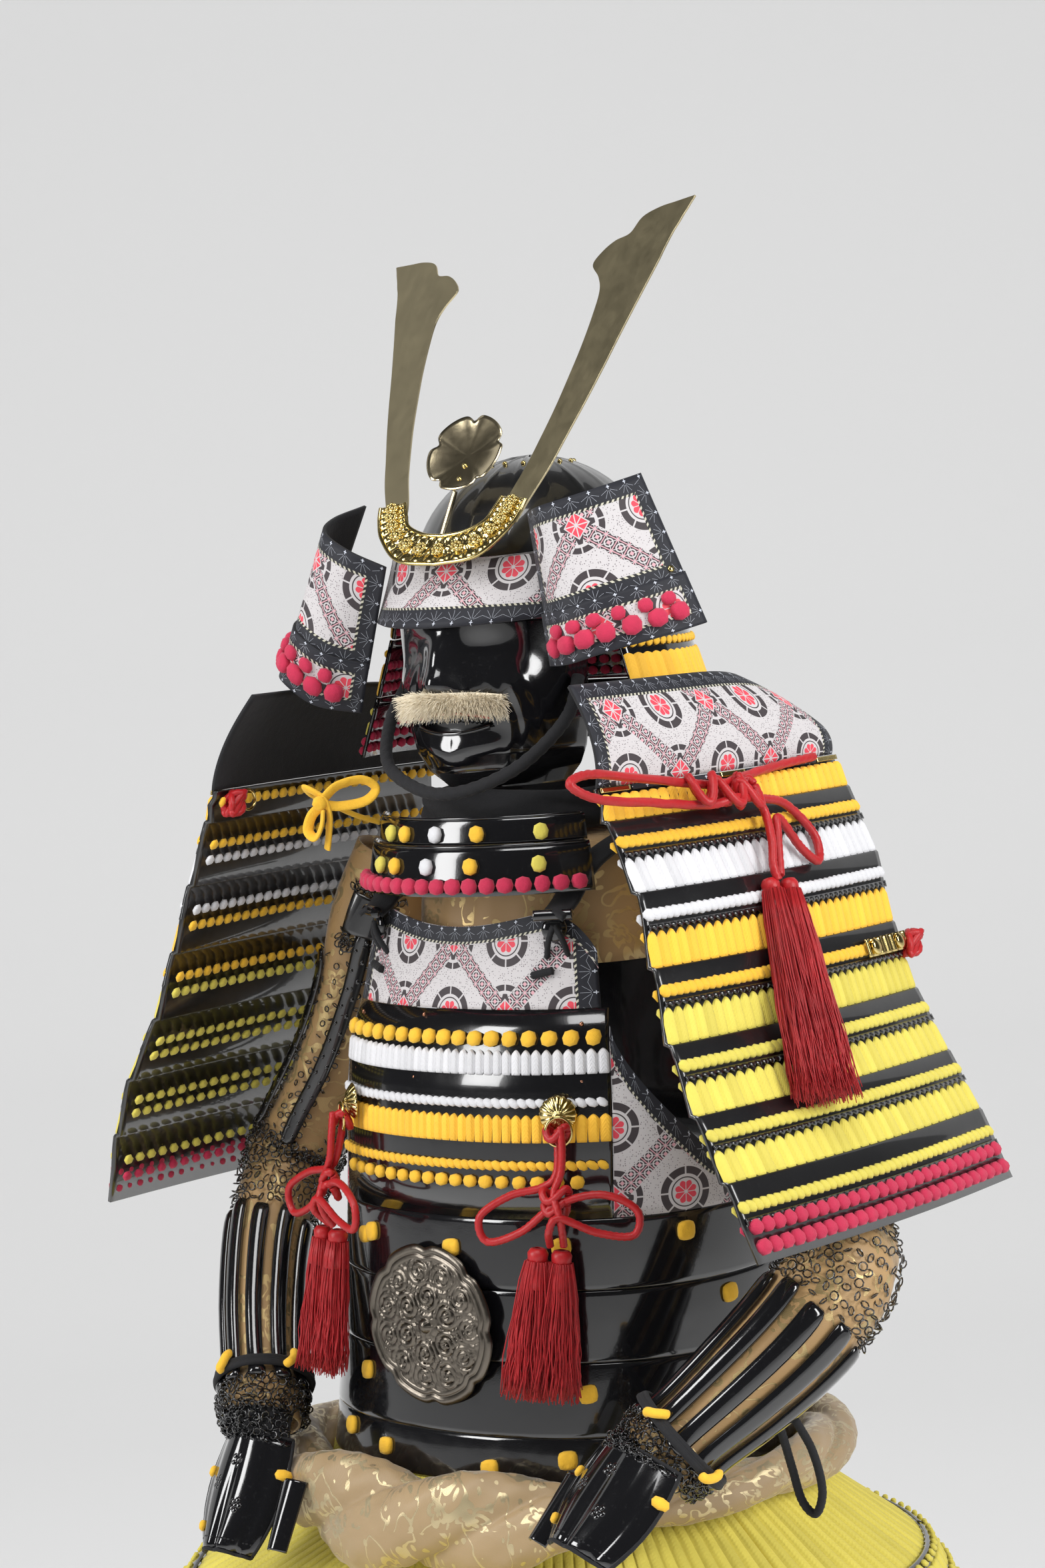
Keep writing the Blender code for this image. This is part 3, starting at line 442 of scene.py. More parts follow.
def printed(name, width=None, height=None, edge=0.017, sides=(1, 1, 1, 1)):
    """The print on a piece's own sheet. The sheet is measured from the middle of its width and down from its
    top, and sides says which of its left, right, top and foot edges are bordered."""
    mat = Finish(name, (0.7, 0.68, 0.68), 0.62, Sheen_Weight=0.08)
    u, v = mat.cloth_at()
    p, q = u / STEP, v / STEP + 0.42
    s, t = (p + q) * 0.5, (p - q) * 0.5
    white, dark = (0.52, 0.495, 0.50), (0.040, 0.030, 0.034)
    red, pink = (0.66, 0.045, 0.075), (0.62, 0.33, 0.37)
    dots = mat.add("TexVoronoi", "Distance", Vector=mat.where.outputs["UV"], Scale=560.0, Randomness=0.55)
    colour = mat.mix((dots < 0.26), white, (0.16, 0.14, 0.15))

    a, b = (s + 0.5).near_whole(), (t + 0.5).near_whole()
    x, y = (a + b) * STEP, (a - b) * STEP
    r, turn = polar(x, y)
    eight = (turn * 4).wave().size()
    colour = mat.mix(r < 0.0212, colour, white)
    colour = mat.mix(r.within(0.0145, 0.0205) * ((eight * r) > 0.0026), colour, dark)
    colour = mat.mix(r.within(0.0112, 0.0122), colour, dark)
    petal = eight * 0.0022 + 0.0072
    colour = mat.mix((r < petal) * (r > 0.0014) * ((eight * r) > 0.0012), colour, red)
    a, b = s.near_whole(), t.near_whole()
    x, y = (a + b) * STEP, (a - b) * STEP
    r, turn = polar(x, y)
    colour = mat.mix(r < 0.0235, colour, white)
    colour = mat.mix(r.within(0.0180, 0.0228) * (((turn * 4).wave().size() * r) > 0.0026), colour, dark)
    small = 0.0068 / STEP
    c, d = (s / small).near_whole(), (t / small).near_whole()
    ring = (c * c + d * d).do("SQRT")
    lace = mat.mix(ring.within(0.27, 0.38), dark, white)
    lace = mat.mix(ring < 0.15, lace, pink)
    lace = mat.mix((c.size() - d.size()).size() * (ring > 0.15) + (ring < 0.15) < 0.045, lace, white)
    lace = mat.mix(c.size().do("MAXIMUM", d.size()) > 0.46, lace, pink)
    edge_line = a.size().do("MINIMUM", b.size())
    colour = mat.mix(edge_line < 0.100, colour, white)
    colour = mat.mix(edge_line < 0.090, colour, lace)
    x, y = x.size(), y.size()
    apart = (x - y).size()
    colour = mat.mix(((x + y) + apart * -0.55 < 0.0100) * (r < 0.0155), colour, dark)
    colour = mat.mix((x + y) < 0.0118, colour, white)
    colour = mat.mix(((x + y) < 0.0105) * (apart > 0.0007) * (x > 0.0005) * (y > 0.0005), colour, red)
    if width:
        far = mat.add("Value")
        far.socket.default_value = 9.0
        beside, above_below = far, far
        if sides[0]:
            beside = beside.do("MINIMUM", u + width / 2)
        if sides[1]:
            beside = beside.do("MINIMUM", u * -1 + width / 2)
        if sides[2]:
            above_below = above_below.do("MINIMUM", v * -1)
        if sides[3]:
            above_below = above_below.do("MINIMUM", v + height)
        away = beside.do("MINIMUM", above_below)
        upright = beside < above_below
        run = u + (v - u) * upright
        x = (run / FAN_STEP).near_whole() * FAN_STEP
        y = away - edge * 0.28
        r, turn = polar(y, x)
        rays = (((turn * 5.5).wave().size() * r) < 0.00042) * r.within(0.0014,
            edge * 0.58) * (turn.size() < 1.25)
        stem = (x.size() < 0.00035) * (y.within(edge * -0.24, 0.0))
        tee = stem.either(((y + edge * 0.13).size() < 0.00035) * (x.size() < 0.0014))
        border = mat.mix(rays.either(tee), (0.008, 0.009, 0.016), (0.52, 0.55, 0.62))
        slant = ((run / 0.0046) + (away - edge) / 0.0030 * 0.5).near_whole() > 0.05
        braid = mat.mix(slant, (0.010, 0.010, 0.010), (0.50, 0.48, 0.38))
        colour = mat.mix(away < edge + 0.0010, colour, braid)
        colour = mat.mix(away < edge - 0.0010, colour, border)
        mat.bump((away - edge).size() < 0.0010, 0.0006)
    mat.put("Base Color", colour)
    return mat.bump(mat.noise(1400, 2, at="UV"), 0.00010)


# Visor: a peak of iron plate riveted to the bowl, flaring over the brow. It is faced with printed leather
# whose foot is edged with black.
phi = np.linspace(-71, 71, 73)
v = np.linspace(0, 1, 13)[:, None]
a, b, f = 0.107 + 0.010 * v, 0.115 + 0.027 * v**1.2, np.radians(phi)
rise = 0.012 * (np.abs(phi) / 80) ** 2
lip = stack(0.004 + 0.1014 * np.sin(f), 0.004 - 0.1074 * np.cos(f), 0.1700 + rise)
brim = stack(a * np.sin(f), -0.005 - b * np.cos(f), 0.168 - 0.050 * v + rise)
visor = head(np.vstack([lip[None], brim]))
height = float(-sheet_uv(visor)[-1, 36, 1])
plate("visor_leather", visor, printed("visor_print", 9.0, height, sides=(0, 0, 0, 1)), "print", ["visor"],
      wall=0.003)


# Face mask of beaten iron under gloss lacquer, made in one with its nose and chin, with a row of blackened
# teeth and a red line along the lip. It is tied on behind the head.
MASK = [(-0.014, 0.66), (0.0, 0.84), (0.015, 0.93), (0.04, 0.985), (0.07, 1.0), (0.10, 1.02), (0.124, 1.03)]


def mask_at(phi, z, out=0.0):
    """The face: an oval with a nose, cheekbones, lips and chin raised by rounded bumps, and folds beside the
    nose."""
    k = table(MASK, z, 1)
    side = np.abs(phi)
    bump = lambda f, h, wf, wh: np.exp(-(((side - f) / wf) ** 2) - ((z - h) / wh) ** 2)
    r = k * (1 + 0 * phi) + 0.20 * bump(0, 0.070, 12, 0.014) + 0.12 * bump(0, 0.092, 9, 0.018)
    r = r + 0.09 * bump(0, 0.006, 22, 0.016)
    r = r + 0.05 * bump(38, 0.070, 15, 0.016) + 0.035 * bump(14, 0.022, 16, 0.008)
    r = r - 0.05 * bump(24, 0.100, 12, 0.012)
    r = r + 0.03 * bump(11, 0.064, 4, 0.006) - 0.03 * bump(6, 0.060, 3, 0.004)
    fade = np.exp(-(((z - 0.045) / 0.034) ** 2))
    for k in range(3):
        line = 26 + 9 * k + 10 * np.cos((z - 0.03) * 34)
        r = r + 0.016 * np.exp(-(((side - line) / 3.2) ** 2)) * fade * (side > 8)
    f = np.radians(phi)
    return head(stack((0.080 * r + out) * np.sin(f), -0.038 - (0.097 * r + out) * np.cos(f), z + 0 * phi))


phi, z = np.linspace(-84, 84, 121), np.linspace(0.120, -0.014, 72)[:, None]
mid_phi, mid_z = (phi[:-1] + phi[1:])[None] / 2 + 0 * z[1:], (z[:-1] + z[1:]) / 2 + 0 * phi[None, 1:]
mouth = (np.abs(mid_z - 0.0395) < 0.0072 * np.sqrt(np.clip(1 - (mid_phi / 27) ** 2, 0, 1))).ravel()
skin = mask_at(phi, z)
place_mesh("mask_plate", skin, cells(72, 121)[~mouth], gloss, "lacquer", ["face_mask"], uv=sheet_uv(skin),
           look=(0, -1, 0), wall=0.0026)
p = np.linspace(-20, 20, 15)
spots, up = mask_at(p, 0.0440 - 0.000006 * p**2, -0.0035), (0, 0, 1)
out = unit(mask_at(p, 0.044 + 0 * p, 0.001) - mask_at(p, 0.044 + 0 * p))
plate("mouth_lining", mask_at(np.linspace(-30, 30, 41), np.linspace(0.052, 0.028, 7)[:, None], -0.0062),
      satin, "lacquer", look=(0, -1, 0))
beads("teeth", spots, np.cross(up, out), up, out, (0.0021, 0.0042, 0.0020), gloss, "lacquer", flat=0.6)


def tube(name, path, radius, mat, slot, nodes=(), sides=12, lobes=0, pitch=0.02, depth=0.14, caps=True,
         flat=1.0):
    """A cord along a path. With lobes, its section is a ring of so many rounded strands, turned once round in
    each pitch of its length, so that the strands twist."""
    path = np.asarray(path, float)
    run = unit(np.gradient(path, axis=0))
    far = np.concatenate([[0], np.cumsum(np.linalg.norm(np.diff(path, axis=0), axis=1))])
    a = np.empty_like(run)
    a[0] = unit(np.cross(run[0], [0.31, 0.52, 0.79]))
    for i in range(1, len(run)):
        a[i] = a[i - 1] - run[i] * (a[i - 1] @ run[i])
        a[i] /= np.linalg.norm(a[i])
    b = np.cross(run, a)
    turn = np.linspace(0, 2 * np.pi, sides + 1)
    swirl = turn[None] - far[:, None] / pitch * 2 * np.pi
    r = radius * (1 - depth + depth * np.abs(np.cos(swirl * lobes / 2)) if lobes else 1 + 0 * swirl)
    if caps:
        r[[0, -1]] = 0
        path[0] -= run[0] * 1e-5
    x, y = r * np.cos(turn), r * np.sin(turn) * flat
    xyz = path[:, None] + x[..., None] * a[:, None] + y[..., None] * b[:, None]
    if caps:
        first, last = xyz[1:2] * 0.98 + xyz[:1] * 0.02, xyz[-2:-1] * 0.98 + xyz[-1:] * 0.02
        xyz = np.concatenate([xyz[:1], first, xyz[1:-1], last, xyz[-1:]])
        far = np.concatenate([far[:1], far[:1], far[1:-1], far[-1:], far[-1:]])
    uv = np.stack(np.broadcast_arrays(turn * radius, far[:, None]), -1)
    rows, cols = xyz.shape[:2]
    faces = cells(rows, cols)
    ring = xyz[rows // 2]
    facing = np.cross(ring[1] - ring[0], xyz[rows // 2 + 1, 0] - ring[0]) @ (ring[0] - ring[:-1].mean(0))
    faces = faces if facing < 0 else faces[:, ::-1]
    look = crossed(xyz, faces).sum(0)
    return place_mesh(name, xyz, faces, mat, slot, nodes, uv=uv, look=look + 1e-12 * np.sign(look + 1e-20),
                      weld=True)


def cloth(name, colour, fibre=(1, 1, 1), depth=0.0004, scale=900, sheen=0.35, vary=0.16, rough=0.85):
    """Spun cord or felted cloth: matt, with a soft bloom, fibres drawn along it and small differences of
    dye."""
    mat = Finish(name, colour, rough, Sheen_Weight=sheen, Sheen_Roughness=0.5)
    mat.put("Sheen Tint", tuple(min(1.0, c + 0.35) for c in colour))
    hue = mat.noise(18, 3) * 0.6 + mat.noise(240, 2) * 0.4
    dull, fresh = tuple(c * (1 - vary * 2) for c in colour), tuple(min(1.0, c * (1 + vary)) for c in colour)
    mat.put("Base Color", mat.mix(hue, dull, fresh))
    return mat.bump(mat.noise(scale, 3, 0.6, stretch=fibre), depth).bump(mat.noise(120, 2), depth * 1.5)


black_cloth = cloth("black_cloth", (0.010, 0.010, 0.012), sheen=0.12)
lip_red = cloth("lip_red", (0.42, 0.02, 0.015), rough=0.4, sheen=0.0)
p = np.linspace(-26, 26, 60)
tube("lip_line", mask_at(p, 0.0478 - 0.0000075 * p**2, 0.0018), 0.0012, lip_red, "lacquer")
tube("lower_lip", mask_at(p, 0.0312 + 0.0000085 * p**2, 0.0014), 0.0017, gloss, "lacquer")


def strands(name, root, way, length, fall, radius, mat, slot, nodes, steps=3, curl=0.0006):
    """Many fine three-sided threads. Each leaves its root along way, bends by fall as the square of how far
    along it is, wavers by curl, and thins to half at its tip."""
    rng = np.random.default_rng(3)
    count = len(root)
    t = np.linspace(0, 1, steps)[None, :, None]
    length = length[:, None, None]
    path = root[:, None] + way[:, None] * length * t + np.asarray(fall)[None, None] * length * t**2
    phase = rng.random((count, 1, 3)) * 6.28
    path = path + curl * np.sin(t * (4 + 5 * rng.random((count, 1, 1))) + phase) * t
    run = unit(np.gradient(path, axis=1))
    a = unit(np.cross(run, [0.31, 0.52, 0.79]))
    b = np.cross(run, a)
    turn = np.arange(4) * 2 * np.pi / 3
    r = radius * (1 - 0.5 * t)
    turn = turn[None, None, :, None]
    ring = path[:, :, None] + r[:, :, None] * (np.cos(turn) * a[:, :, None] + np.sin(turn) * b[:, :, None])
    xyz = np.concatenate([ring[:, :1] * 0 + path[:, :1, None], ring, ring[:, :1] * 0 + path[:, -1:, None]], 1)
    faces = copies(cells(steps + 2, 4), (steps + 2) * 4, count)
    uv = np.stack(np.broadcast_arrays(np.arange(4)[None] / 3, np.linspace(0, 1, steps + 2)[:, None]), -1)
    uv = np.broadcast_to(uv, (count, steps + 2, 4, 2))
    one = faces[: (steps + 1) * 3]
    if (crossed(xyz, one) * (xyz.reshape(-1, 3)[one].mean(1) - path[0].mean(0))).sum() < 0:
        faces = faces[:, ::-1]
    return place_mesh(name, xyz, faces, mat, slot, nodes, uv=uv, look=crossed(xyz, faces).sum(0))


# Moustache: a strip of cream fur glued along the lip of the mask, its hair combed down and outwards.
fur = Finish("cream_fur", (0.86, 0.76, 0.56), 0.75, Sheen_Weight=0.3)
fur.put("Base Color", fur.mix(fur.noise(260, 3), (0.74, 0.60, 0.38), (0.97, 0.91, 0.76)))
rng = np.random.default_rng(5)
count = 2500
p, h = rng.uniform(-34, 34, count), rng.uniform(0.0505, 0.0645, count)
base = mask_at(p, h - 0.004 * (p / 33) ** 2, 0.0035 + 0.004 * rng.random(count))
lift = np.clip((h - 0.0575) / 0.006, -1, 1)
out = unit(mask_at(p, h, 0.01) - mask_at(p, h, 0.0))
way = out * 0.75 + lift[:, None] * np.array([0, 0, 0.75]) + np.array([0, 0, -0.30])
way = unit(way + np.stack([p / 33 * 0.8, 0 * p, 0 * p], -1) + 0.55 * (rng.random((count, 3)) - 0.5))
reach = rng.uniform(0.005, 0.0105, count)
strands("moustache_hair", base, way, reach, (0, 0, -0.25), 0.00026, fur, "fur", ["moustache"])
p, h = np.linspace(-33, 33, 40), np.array([0.0655, 0.0625, 0.057, 0.0515, 0.0495])[:, None]
swell = np.array([0.0020, 0.0050, 0.0062, 0.0050, 0.0020])[:, None]
plate("moustache_hide", mask_at(p, h - 0.004 * (p / 33) ** 2, swell), fur, "fur", look=(0, -1, 0))

# Chin cord: a thick cord of three black strands, wound round the chin of the mask and tied to the helmet,
# which holds both on the head.
CHIN = [(0.0842, -0.067, 0.072), (0.087, -0.093, 0.040), (0.068, -0.127, 0.008), (0.034, -0.142, -0.010),
        (0.0, -0.148, -0.016)]
line = head(smooth_path(CHIN + [(-x, y, z) for x, y, z in CHIN[-2::-1]], 160))
tube("chin_rope", line, 0.0055, black_cloth, "black_cloth", ["chin_cord"], sides=16, lobes=3, pitch=0.03)


def frame_on(at, u, s, out=0.0):
    """Spots on a surface, with the way along it, up it and out of it, from the slopes between close
    points."""
    small = 1e-3
    u, s = np.broadcast_arrays(np.asarray(u, float), np.asarray(s, float))
    spot = at(u, s, out)
    along = unit(at(u + small, s, out) - at(u - small, s, out))
    up = unit(at(u, s + small, out) - at(u, s - small, out))
    up = up * np.where(up[..., 2:] < 0, -1, 1)
    away = at(u, s, np.asarray(out) + 1e-3) - spot
    normal = unit(np.cross(along, up))
    normal = normal * np.where((normal * away).sum(-1, keepdims=True) < 0, -1, 1)
    return spot, along, up, normal


def silk(name, colour):
    """Flat braided lacing: its cords lie side by side, each plaited like an ear of wheat, and no two quite
    the same shade."""
    mat = Finish(name, colour, 0.75, Sheen_Weight=0.35, Sheen_Roughness=0.45)
    mat.put("Sheen Tint", tuple(min(1.0, c + 0.3) for c in colour))
    u, v = mat.cloth_at()
    shade = mat.add("TexWhiteNoise", 0, settings={"noise_dimensions": "1D"}, W=u.do("FLOOR"))
    shade = shade * 0.7 + mat.noise(60, 2) * 0.5
    mat.put("Base Color",
            mat.mix(shade, tuple(c * 0.84 for c in colour), tuple(min(1.0, c * 1.10) for c in colour)))
    plait = ((v / 0.0034 + (u.do("FRACT") - 0.5).size() * 2.0) * 6.2832).wave() * 0.5 + 0.5
    return mat.bump(plait, 0.00013).bump(mat.noise(1300, 2), 0.00025)


orange_silk = silk("orange_silk", (0.92, 0.50, 0.035))
white_silk = silk("white_silk", (0.64, 0.64, 0.66))
lemon_silk = silk("lemon_silk", (0.66, 0.56, 0.085))
orange_felt = cloth("orange_felt", (0.93, 0.50, 0.03))
white_felt = cloth("white_felt", (0.64, 0.64, 0.66), vary=0.08)
lemon_felt = cloth("lemon_felt", (0.68, 0.58, 0.09))
crimson_felt = cloth("crimson_felt", (0.52, 0.018, 0.068))
LACES = {"orange": (orange_silk, orange_felt), "white": (white_silk, white_felt),
         "lemon": (lemon_silk, lemon_felt)}


def laces(name, at, ends, count, mat, thick=0.0022, peak=0.06, lift=0.0, nodes=(), look=(0, -1, 0)):
    """Tall lacing on a surface: count flat cords side by side, each a low round ridge. ends are the surface's
    own s at their top and foot, and the top of each comes to a rounded point, peak of the length tall."""
    per = 6
    u = np.arange(count * per + 1) / (count * per)
    off = np.abs(2 * ((u * count + 1e-9) % 1) - 1)
    w = np.array([0, 0.03, 0.12, 0.35, 0.65, 0.88, 0.97, 1.0])[:, None]
    grow = peak * off**1.6 * (1 - w)
    s = ends[0] + (ends[1] - ends[0]) * (w + grow)
    ends_low = np.sqrt(np.clip(1 - (2 * w - 1) ** 14, 0, 1))
    high = thick * (0.12 + 0.88 * np.sqrt(1 - np.clip(off, 0, 1) ** 4)) * ends_low
    xyz = at(u[None] + 0 * w, s, lift + high)
    uv = np.stack(np.broadcast_arrays(u * count, sheet_uv(xyz)[..., 1]), -1)
    return plate(name, xyz, mat, "lacing", nodes, uv=uv, look=look)


def row(name, at, s, count, mat, size, lift=0.0, tilt=0.0, ends=(0.0, 1.0), fold=0.35, flat=0.35, **more):
    """A row of round knots, or with tilt of the slanting lobes of a braid, along a surface."""
    u = np.linspace(ends[0], ends[1], 2 * count + 1)[1::2]
    spot, along, up, out = frame_on(at, u, s + 0 * u, lift)
    return beads(name, spot, along, up, out, size, mat, "lacing", tilt=tilt, fold=fold, flat=flat, **more)


def beads_on(name, at, u, s, lift, size, mat, slot, **more):
    """Lumps seated on a surface at the places u, s."""
    spot, along, up, out = frame_on(at, np.atleast_1d(u), np.atleast_1d(s), lift)
    return beads(name, spot, along, up, out, size, mat, slot, **more)


# Turn-backs: the front ends of the neck guard's plates, rolled outwards beside the face. Each is faced with
# printed leather in two panels, lined with black, and its lower panel carries two rows of crimson knots.
SIDES = ((1, "left"), (-1, "right"))
WINGS = {
    "left": ([(0.0760, -0.102, 0.205), (0.102, -0.120, 0.209), (0.128, -0.114, 0.215), (0.149, -0.090, 0.223),
              (0.158, -0.060, 0.230)],
             [(0.0890, -0.098, 0.082), (0.128, -0.124, 0.084), (0.160, -0.117, 0.092), (0.190, -0.086, 0.101),
              (0.206, -0.050, 0.109)]),
    "right": ([(-0.0655, -0.118, 0.168), (-0.092, -0.134, 0.184), (-0.120, -0.130, 0.200),
               (-0.134, -0.102, 0.211), (-0.131, -0.066, 0.220)],
              [(-0.114, -0.106, 0.049), (-0.142, -0.132, 0.058), (-0.166, -0.141, 0.078),
               (-0.184, -0.118, 0.086), (-0.188, -0.082, 0.092)]),
}
for side, name in SIDES:
    top, foot = (smooth_path(line, 65) for line in WINGS[name])
    forward = (0, -1, 0) if side > 0 else (-0.3, -1, 0)

    def wing_at(u, s, out=0.0):
        """Straight from top to foot, bowed across, with its outer side forward."""
        u, s = np.broadcast_arrays(np.asarray(u, float), np.asarray(s, float))
        k = np.clip(u, 0, 1) * 64
        pick = lambda line: np.stack([np.interp(k, np.arange(65), line[:, c]) for c in range(3)], -1)
        a, b = pick(top), pick(foot)
        run = pick(np.gradient(top, axis=0)) + pick(np.gradient(foot, axis=0))
        normal = unit(np.cross(run, b - a)) * side
        normal = normal * np.where((normal * forward).sum(-1, keepdims=True) < 0, -1, 1)
        return a + (b - a) * s[..., None] + normal * np.asarray(out)[..., None]

    u = np.linspace(0, 1, 45)[None]
    for part, (v0, v1, lift) in {"upper": (0.0, 0.70, 0.0), "lower": (0.66, 1.0, 0.0022)}.items():
        xyz = wing_at(u, np.linspace(v0, v1, 17)[:, None], lift)
        uv = sheet_uv(xyz)
        wide, tall = float(uv[8, -1, 0] * 2), float(-uv[-1, 22, 1])
        uv = np.stack([(u - 0.5) * wide + 0 * uv[..., 0], -np.linspace(0, 1, 17)[:, None] * tall + 0 * u], -1)
        mat = printed(f"wing_print_{name}_{part}", wide, tall, edge=0.014 if part == "upper" else 0.011)
        plate(f"wing_{name}_{part}", xyz, mat, "print", [f"turn_back_{name}"], wall=0.0028, uv=uv,
              look=(0, -1, 0), lining=black_cloth)
    row(f"wing_{name}_knots_low", wing_at, 0.885, 7, crimson_felt, (0.0088, 0.0082, 0.0062), 0.0050,
        ends=(0.10, 0.93))
    row(f"wing_{name}_knots_high", wing_at, 0.79, 6, crimson_felt, (0.0066, 0.0060, 0.0050), 0.0050,
        ends=(0.16, 0.90))
    beads_on(f"wing_{name}_rivet", wing_at, 0.93, 0.62, 0.002, (0.003, 0.003, 0.0016), gilt, "gilt")

# Neck guard: three lacquered plates round the sides and back, hung one below the other on silk lacing, the
# last with a double row of crimson knots along its foot. Each row gives height and half widths at the top,
# then at the foot.
NECK = [(0.148, 0.112, 0.120, 0.1070, 0.119, 0.126), (0.106, 0.1222, 0.1292, 0.0590, 0.138, 0.136),
        (0.058, 0.141, 0.139, 0.008, 0.160, 0.146)]
for i, (z0, a0, b0, z1, a1, b1) in enumerate(NECK):

    def guard_at(u, s, out=0.0):
        """An arc round the back: an ellipse whose half widths grow downwards."""
        f = np.radians(62 + 3 * i + (236 - 6 * i) * np.asarray(u, float))
        a, b, z = a0 + (a1 - a0) * s + out, b0 + (b1 - b0) * s + out, z0 + (z1 - z0) * s
        return head(stack(a * np.sin(f), 0.004 - b * np.cos(f), z + 0 * f))

    plate(f"guard_plate_{i + 1}", guard_at(np.linspace(0, 1, 81)[None], np.linspace(0, 1, 5)[:, None]), gloss,
          "lacquer", [f"neck_guard_{i + 1}"], wall=0.0026, look=(0, 1, 0))
    tone = ("orange", "orange", "lemon")[i]
    foot = 0.98 if i < 2 else 0.62
    laces(f"guard_lacing_{i + 1}", guard_at, (0.40, foot), 52, LACES[tone][0], lift=0.0014, look=(0, 1, 0))
    row(f"guard_braid_{i + 1}", guard_at, 0.24, 60, LACES[tone][1], (0.0050, 0.0030, 0.0022), 0.0022,
        tilt=0.6, flat=0.0)
    for k in (0, 1) if i == 2 else ():
        row(f"guard_knots_{k + 1}", guard_at, 0.74 + 0.15 * k, 46, crimson_felt, (0.0048, 0.0040, 0.0034),
            0.0028)
    for k in (0, 1, 2):
        row(f"guard_inner_knots_{i + 1}_{k + 1}", guard_at, 0.45 + 0.2 * k, 46, crimson_felt,
            (0.0046, 0.0040, 0.0030), -0.0026)


# Horns: a pair cut from flat sheet brass, their edges filed round, standing in the gilt holder. Each row
# holds a point of the outer edge and one of the inner edge in the plane of the left horn.
HORN = [(0.0640, 0.0280, 0.0440, 0.0300), (0.0715, 0.0472, 0.0497, 0.0540), (0.0850, 0.0770, 0.0603, 0.0812),
        (0.0955, 0.1070, 0.0689, 0.1094), (0.1060, 0.1370, 0.0767, 0.1382), (0.1160, 0.1680, 0.0831, 0.1676),
        (0.1250, 0.1980, 0.0889, 0.1974), (0.1345, 0.2280, 0.0930, 0.2277), (0.1430, 0.2540, 0.0945, 0.2520),
        (0.1480, 0.2690, 0.0900, 0.2680), (0.1510, 0.2800, 0.0811, 0.2831), (0.1545, 0.2915, 0.0880, 0.2954),
        (0.1575, 0.3000, 0.0991, 0.3041), (0.1605, 0.3065, 0.1126, 0.3084), (0.1635, 0.3140, 0.1218, 0.3229),
        (0.1665, 0.3205, 0.1374, 0.3292), (0.1690, 0.3265, 0.1546, 0.3310), (0.1716, 0.3322, 0.1708, 0.3326)]
SOCKET = {"left": (-4.9, 35.5, 8.0), "right": (-11.7, 36.8, -8.0)}
horn = smooth_path(HORN, 103)
w = np.linspace(0, 1, 9)
for side, name in SIDES:
    turn, lean, tip = np.radians(SOCKET[name])
    x = horn[:, :1] * (1 - w) + horn[:, 2:3] * w - 0.06
    t = horn[:, 1:2] * (1 - w) + horn[:, 3:] * w - 0.03
    x, t = (x * np.cos(tip) - t * np.sin(tip)) * side, x * np.sin(tip) + t * np.cos(tip)
    back = t * np.sin(lean)
    foot = (side * 0.06, -0.130 + 0.03 * np.sin(lean), 0.175 + 0.03 * np.cos(lean))
    c, w_turn = np.cos(turn), np.sin(turn)
    xyz = head(stack(x * c - back * w_turn + foot[0], x * w_turn + back * c + foot[1], t * np.cos(lean)
                     + foot[2]))
    horn_sheet = plate(f"horn_sheet_{name}", xyz, brass, "brass", [f"horn_{name}"], wall=0.0016, flat=True)
    edge = horn_sheet.modifiers.new("edge", "BEVEL")
    edge.width, edge.segments, edge.limit_method, edge.angle_limit = 0.0004, 2, "ANGLE", 1.0

# Holder of the horns: a U of gilt openwork, two round rims with scrolls and small florets between them,
# riveted to the front of the bowl over the visor.
LEAN = np.radians(33.0)


def crest_at(across, along, out):
    """Points in the sloping plane of the crest: across, along its slope, and out in front of it."""
    c, w = np.cos(LEAN), np.sin(LEAN)
    return head(stack(across, -0.130 + along * w - out * c, 0.175 + along * c + out * w))


HOLDER = [(0.0720, 0.046, 0.0470, 0.050), (0.0690, 0.032, 0.0420, 0.038), (0.0603, 0.0142, 0.0360, 0.027),
          (0.0380, -0.0067, 0.0190, 0.0190), (0.0, -0.012, 0.0, 0.0165)]
half = smooth_path(HOLDER, 61)
full = np.vstack([half, half[-2::-1] * [-1, 1, -1, 1]])


def holder_at(u, s, out=0.0):
    """Along the U by u and from its outer to its inner edge by s."""
    k = np.clip(np.asarray(u, float), 0, 1) * (len(full) - 1)
    get = lambda c: np.interp(k, np.arange(len(full)), full[:, c])
    return crest_at(get(0) * (1 - s) + get(2) * s, get(1) * (1 - s) + get(3) * s, out)


u, s = np.linspace(0, 1, 241), np.linspace(0, 1, 21)[:, None]
n = u * 22
scroll = np.sin(n * np.pi) ** 2 * np.sin(s * np.pi * 3) ** 2 + 0.5 * np.cos(n * np.pi * 2
    + s * 9) ** 2 * np.sin(s * np.pi)
holes = ((np.sin(n * np.pi * 2 + np.cos(s * 9) * 2)
          * np.sin(s * np.pi * 4 + 0.6)) > 0.62) & (s > 0.16) & (s < 0.84)
xyz = holder_at(u, s, 0.0040 + 0.0016 * scroll)
hole = (holes[:-1, :-1] & holes[1:, 1:]).ravel()
place_mesh("holder_openwork", xyz, cells(21, 241)[~hole], gilt, "gilt", ["horn_holder"], look=(0, -1, 0.6),
           wall=0.0016)
for k, s in enumerate((0.04, 0.96)):
    tube(f"holder_rim_{k + 1}", holder_at(u, s + 0 * u, 0.0050), 0.0017, gilt, "gilt", sides=10)
u = (np.arange(13) + 0.5) / 13
for ring, size in ((0, (0.0058, 0.0058, 0.0022)), (1, (0.0024, 0.0024, 0.0030))):
    beads_on(f"holder_floret_{ring + 1}", holder_at, u, 0.5 + 0 * u, 0.0060 + 0.001 * ring, size, gilt,
             "gilt", sides=12)
turn = (np.arange(8) * 2 * np.pi / 8)[None, :, None]
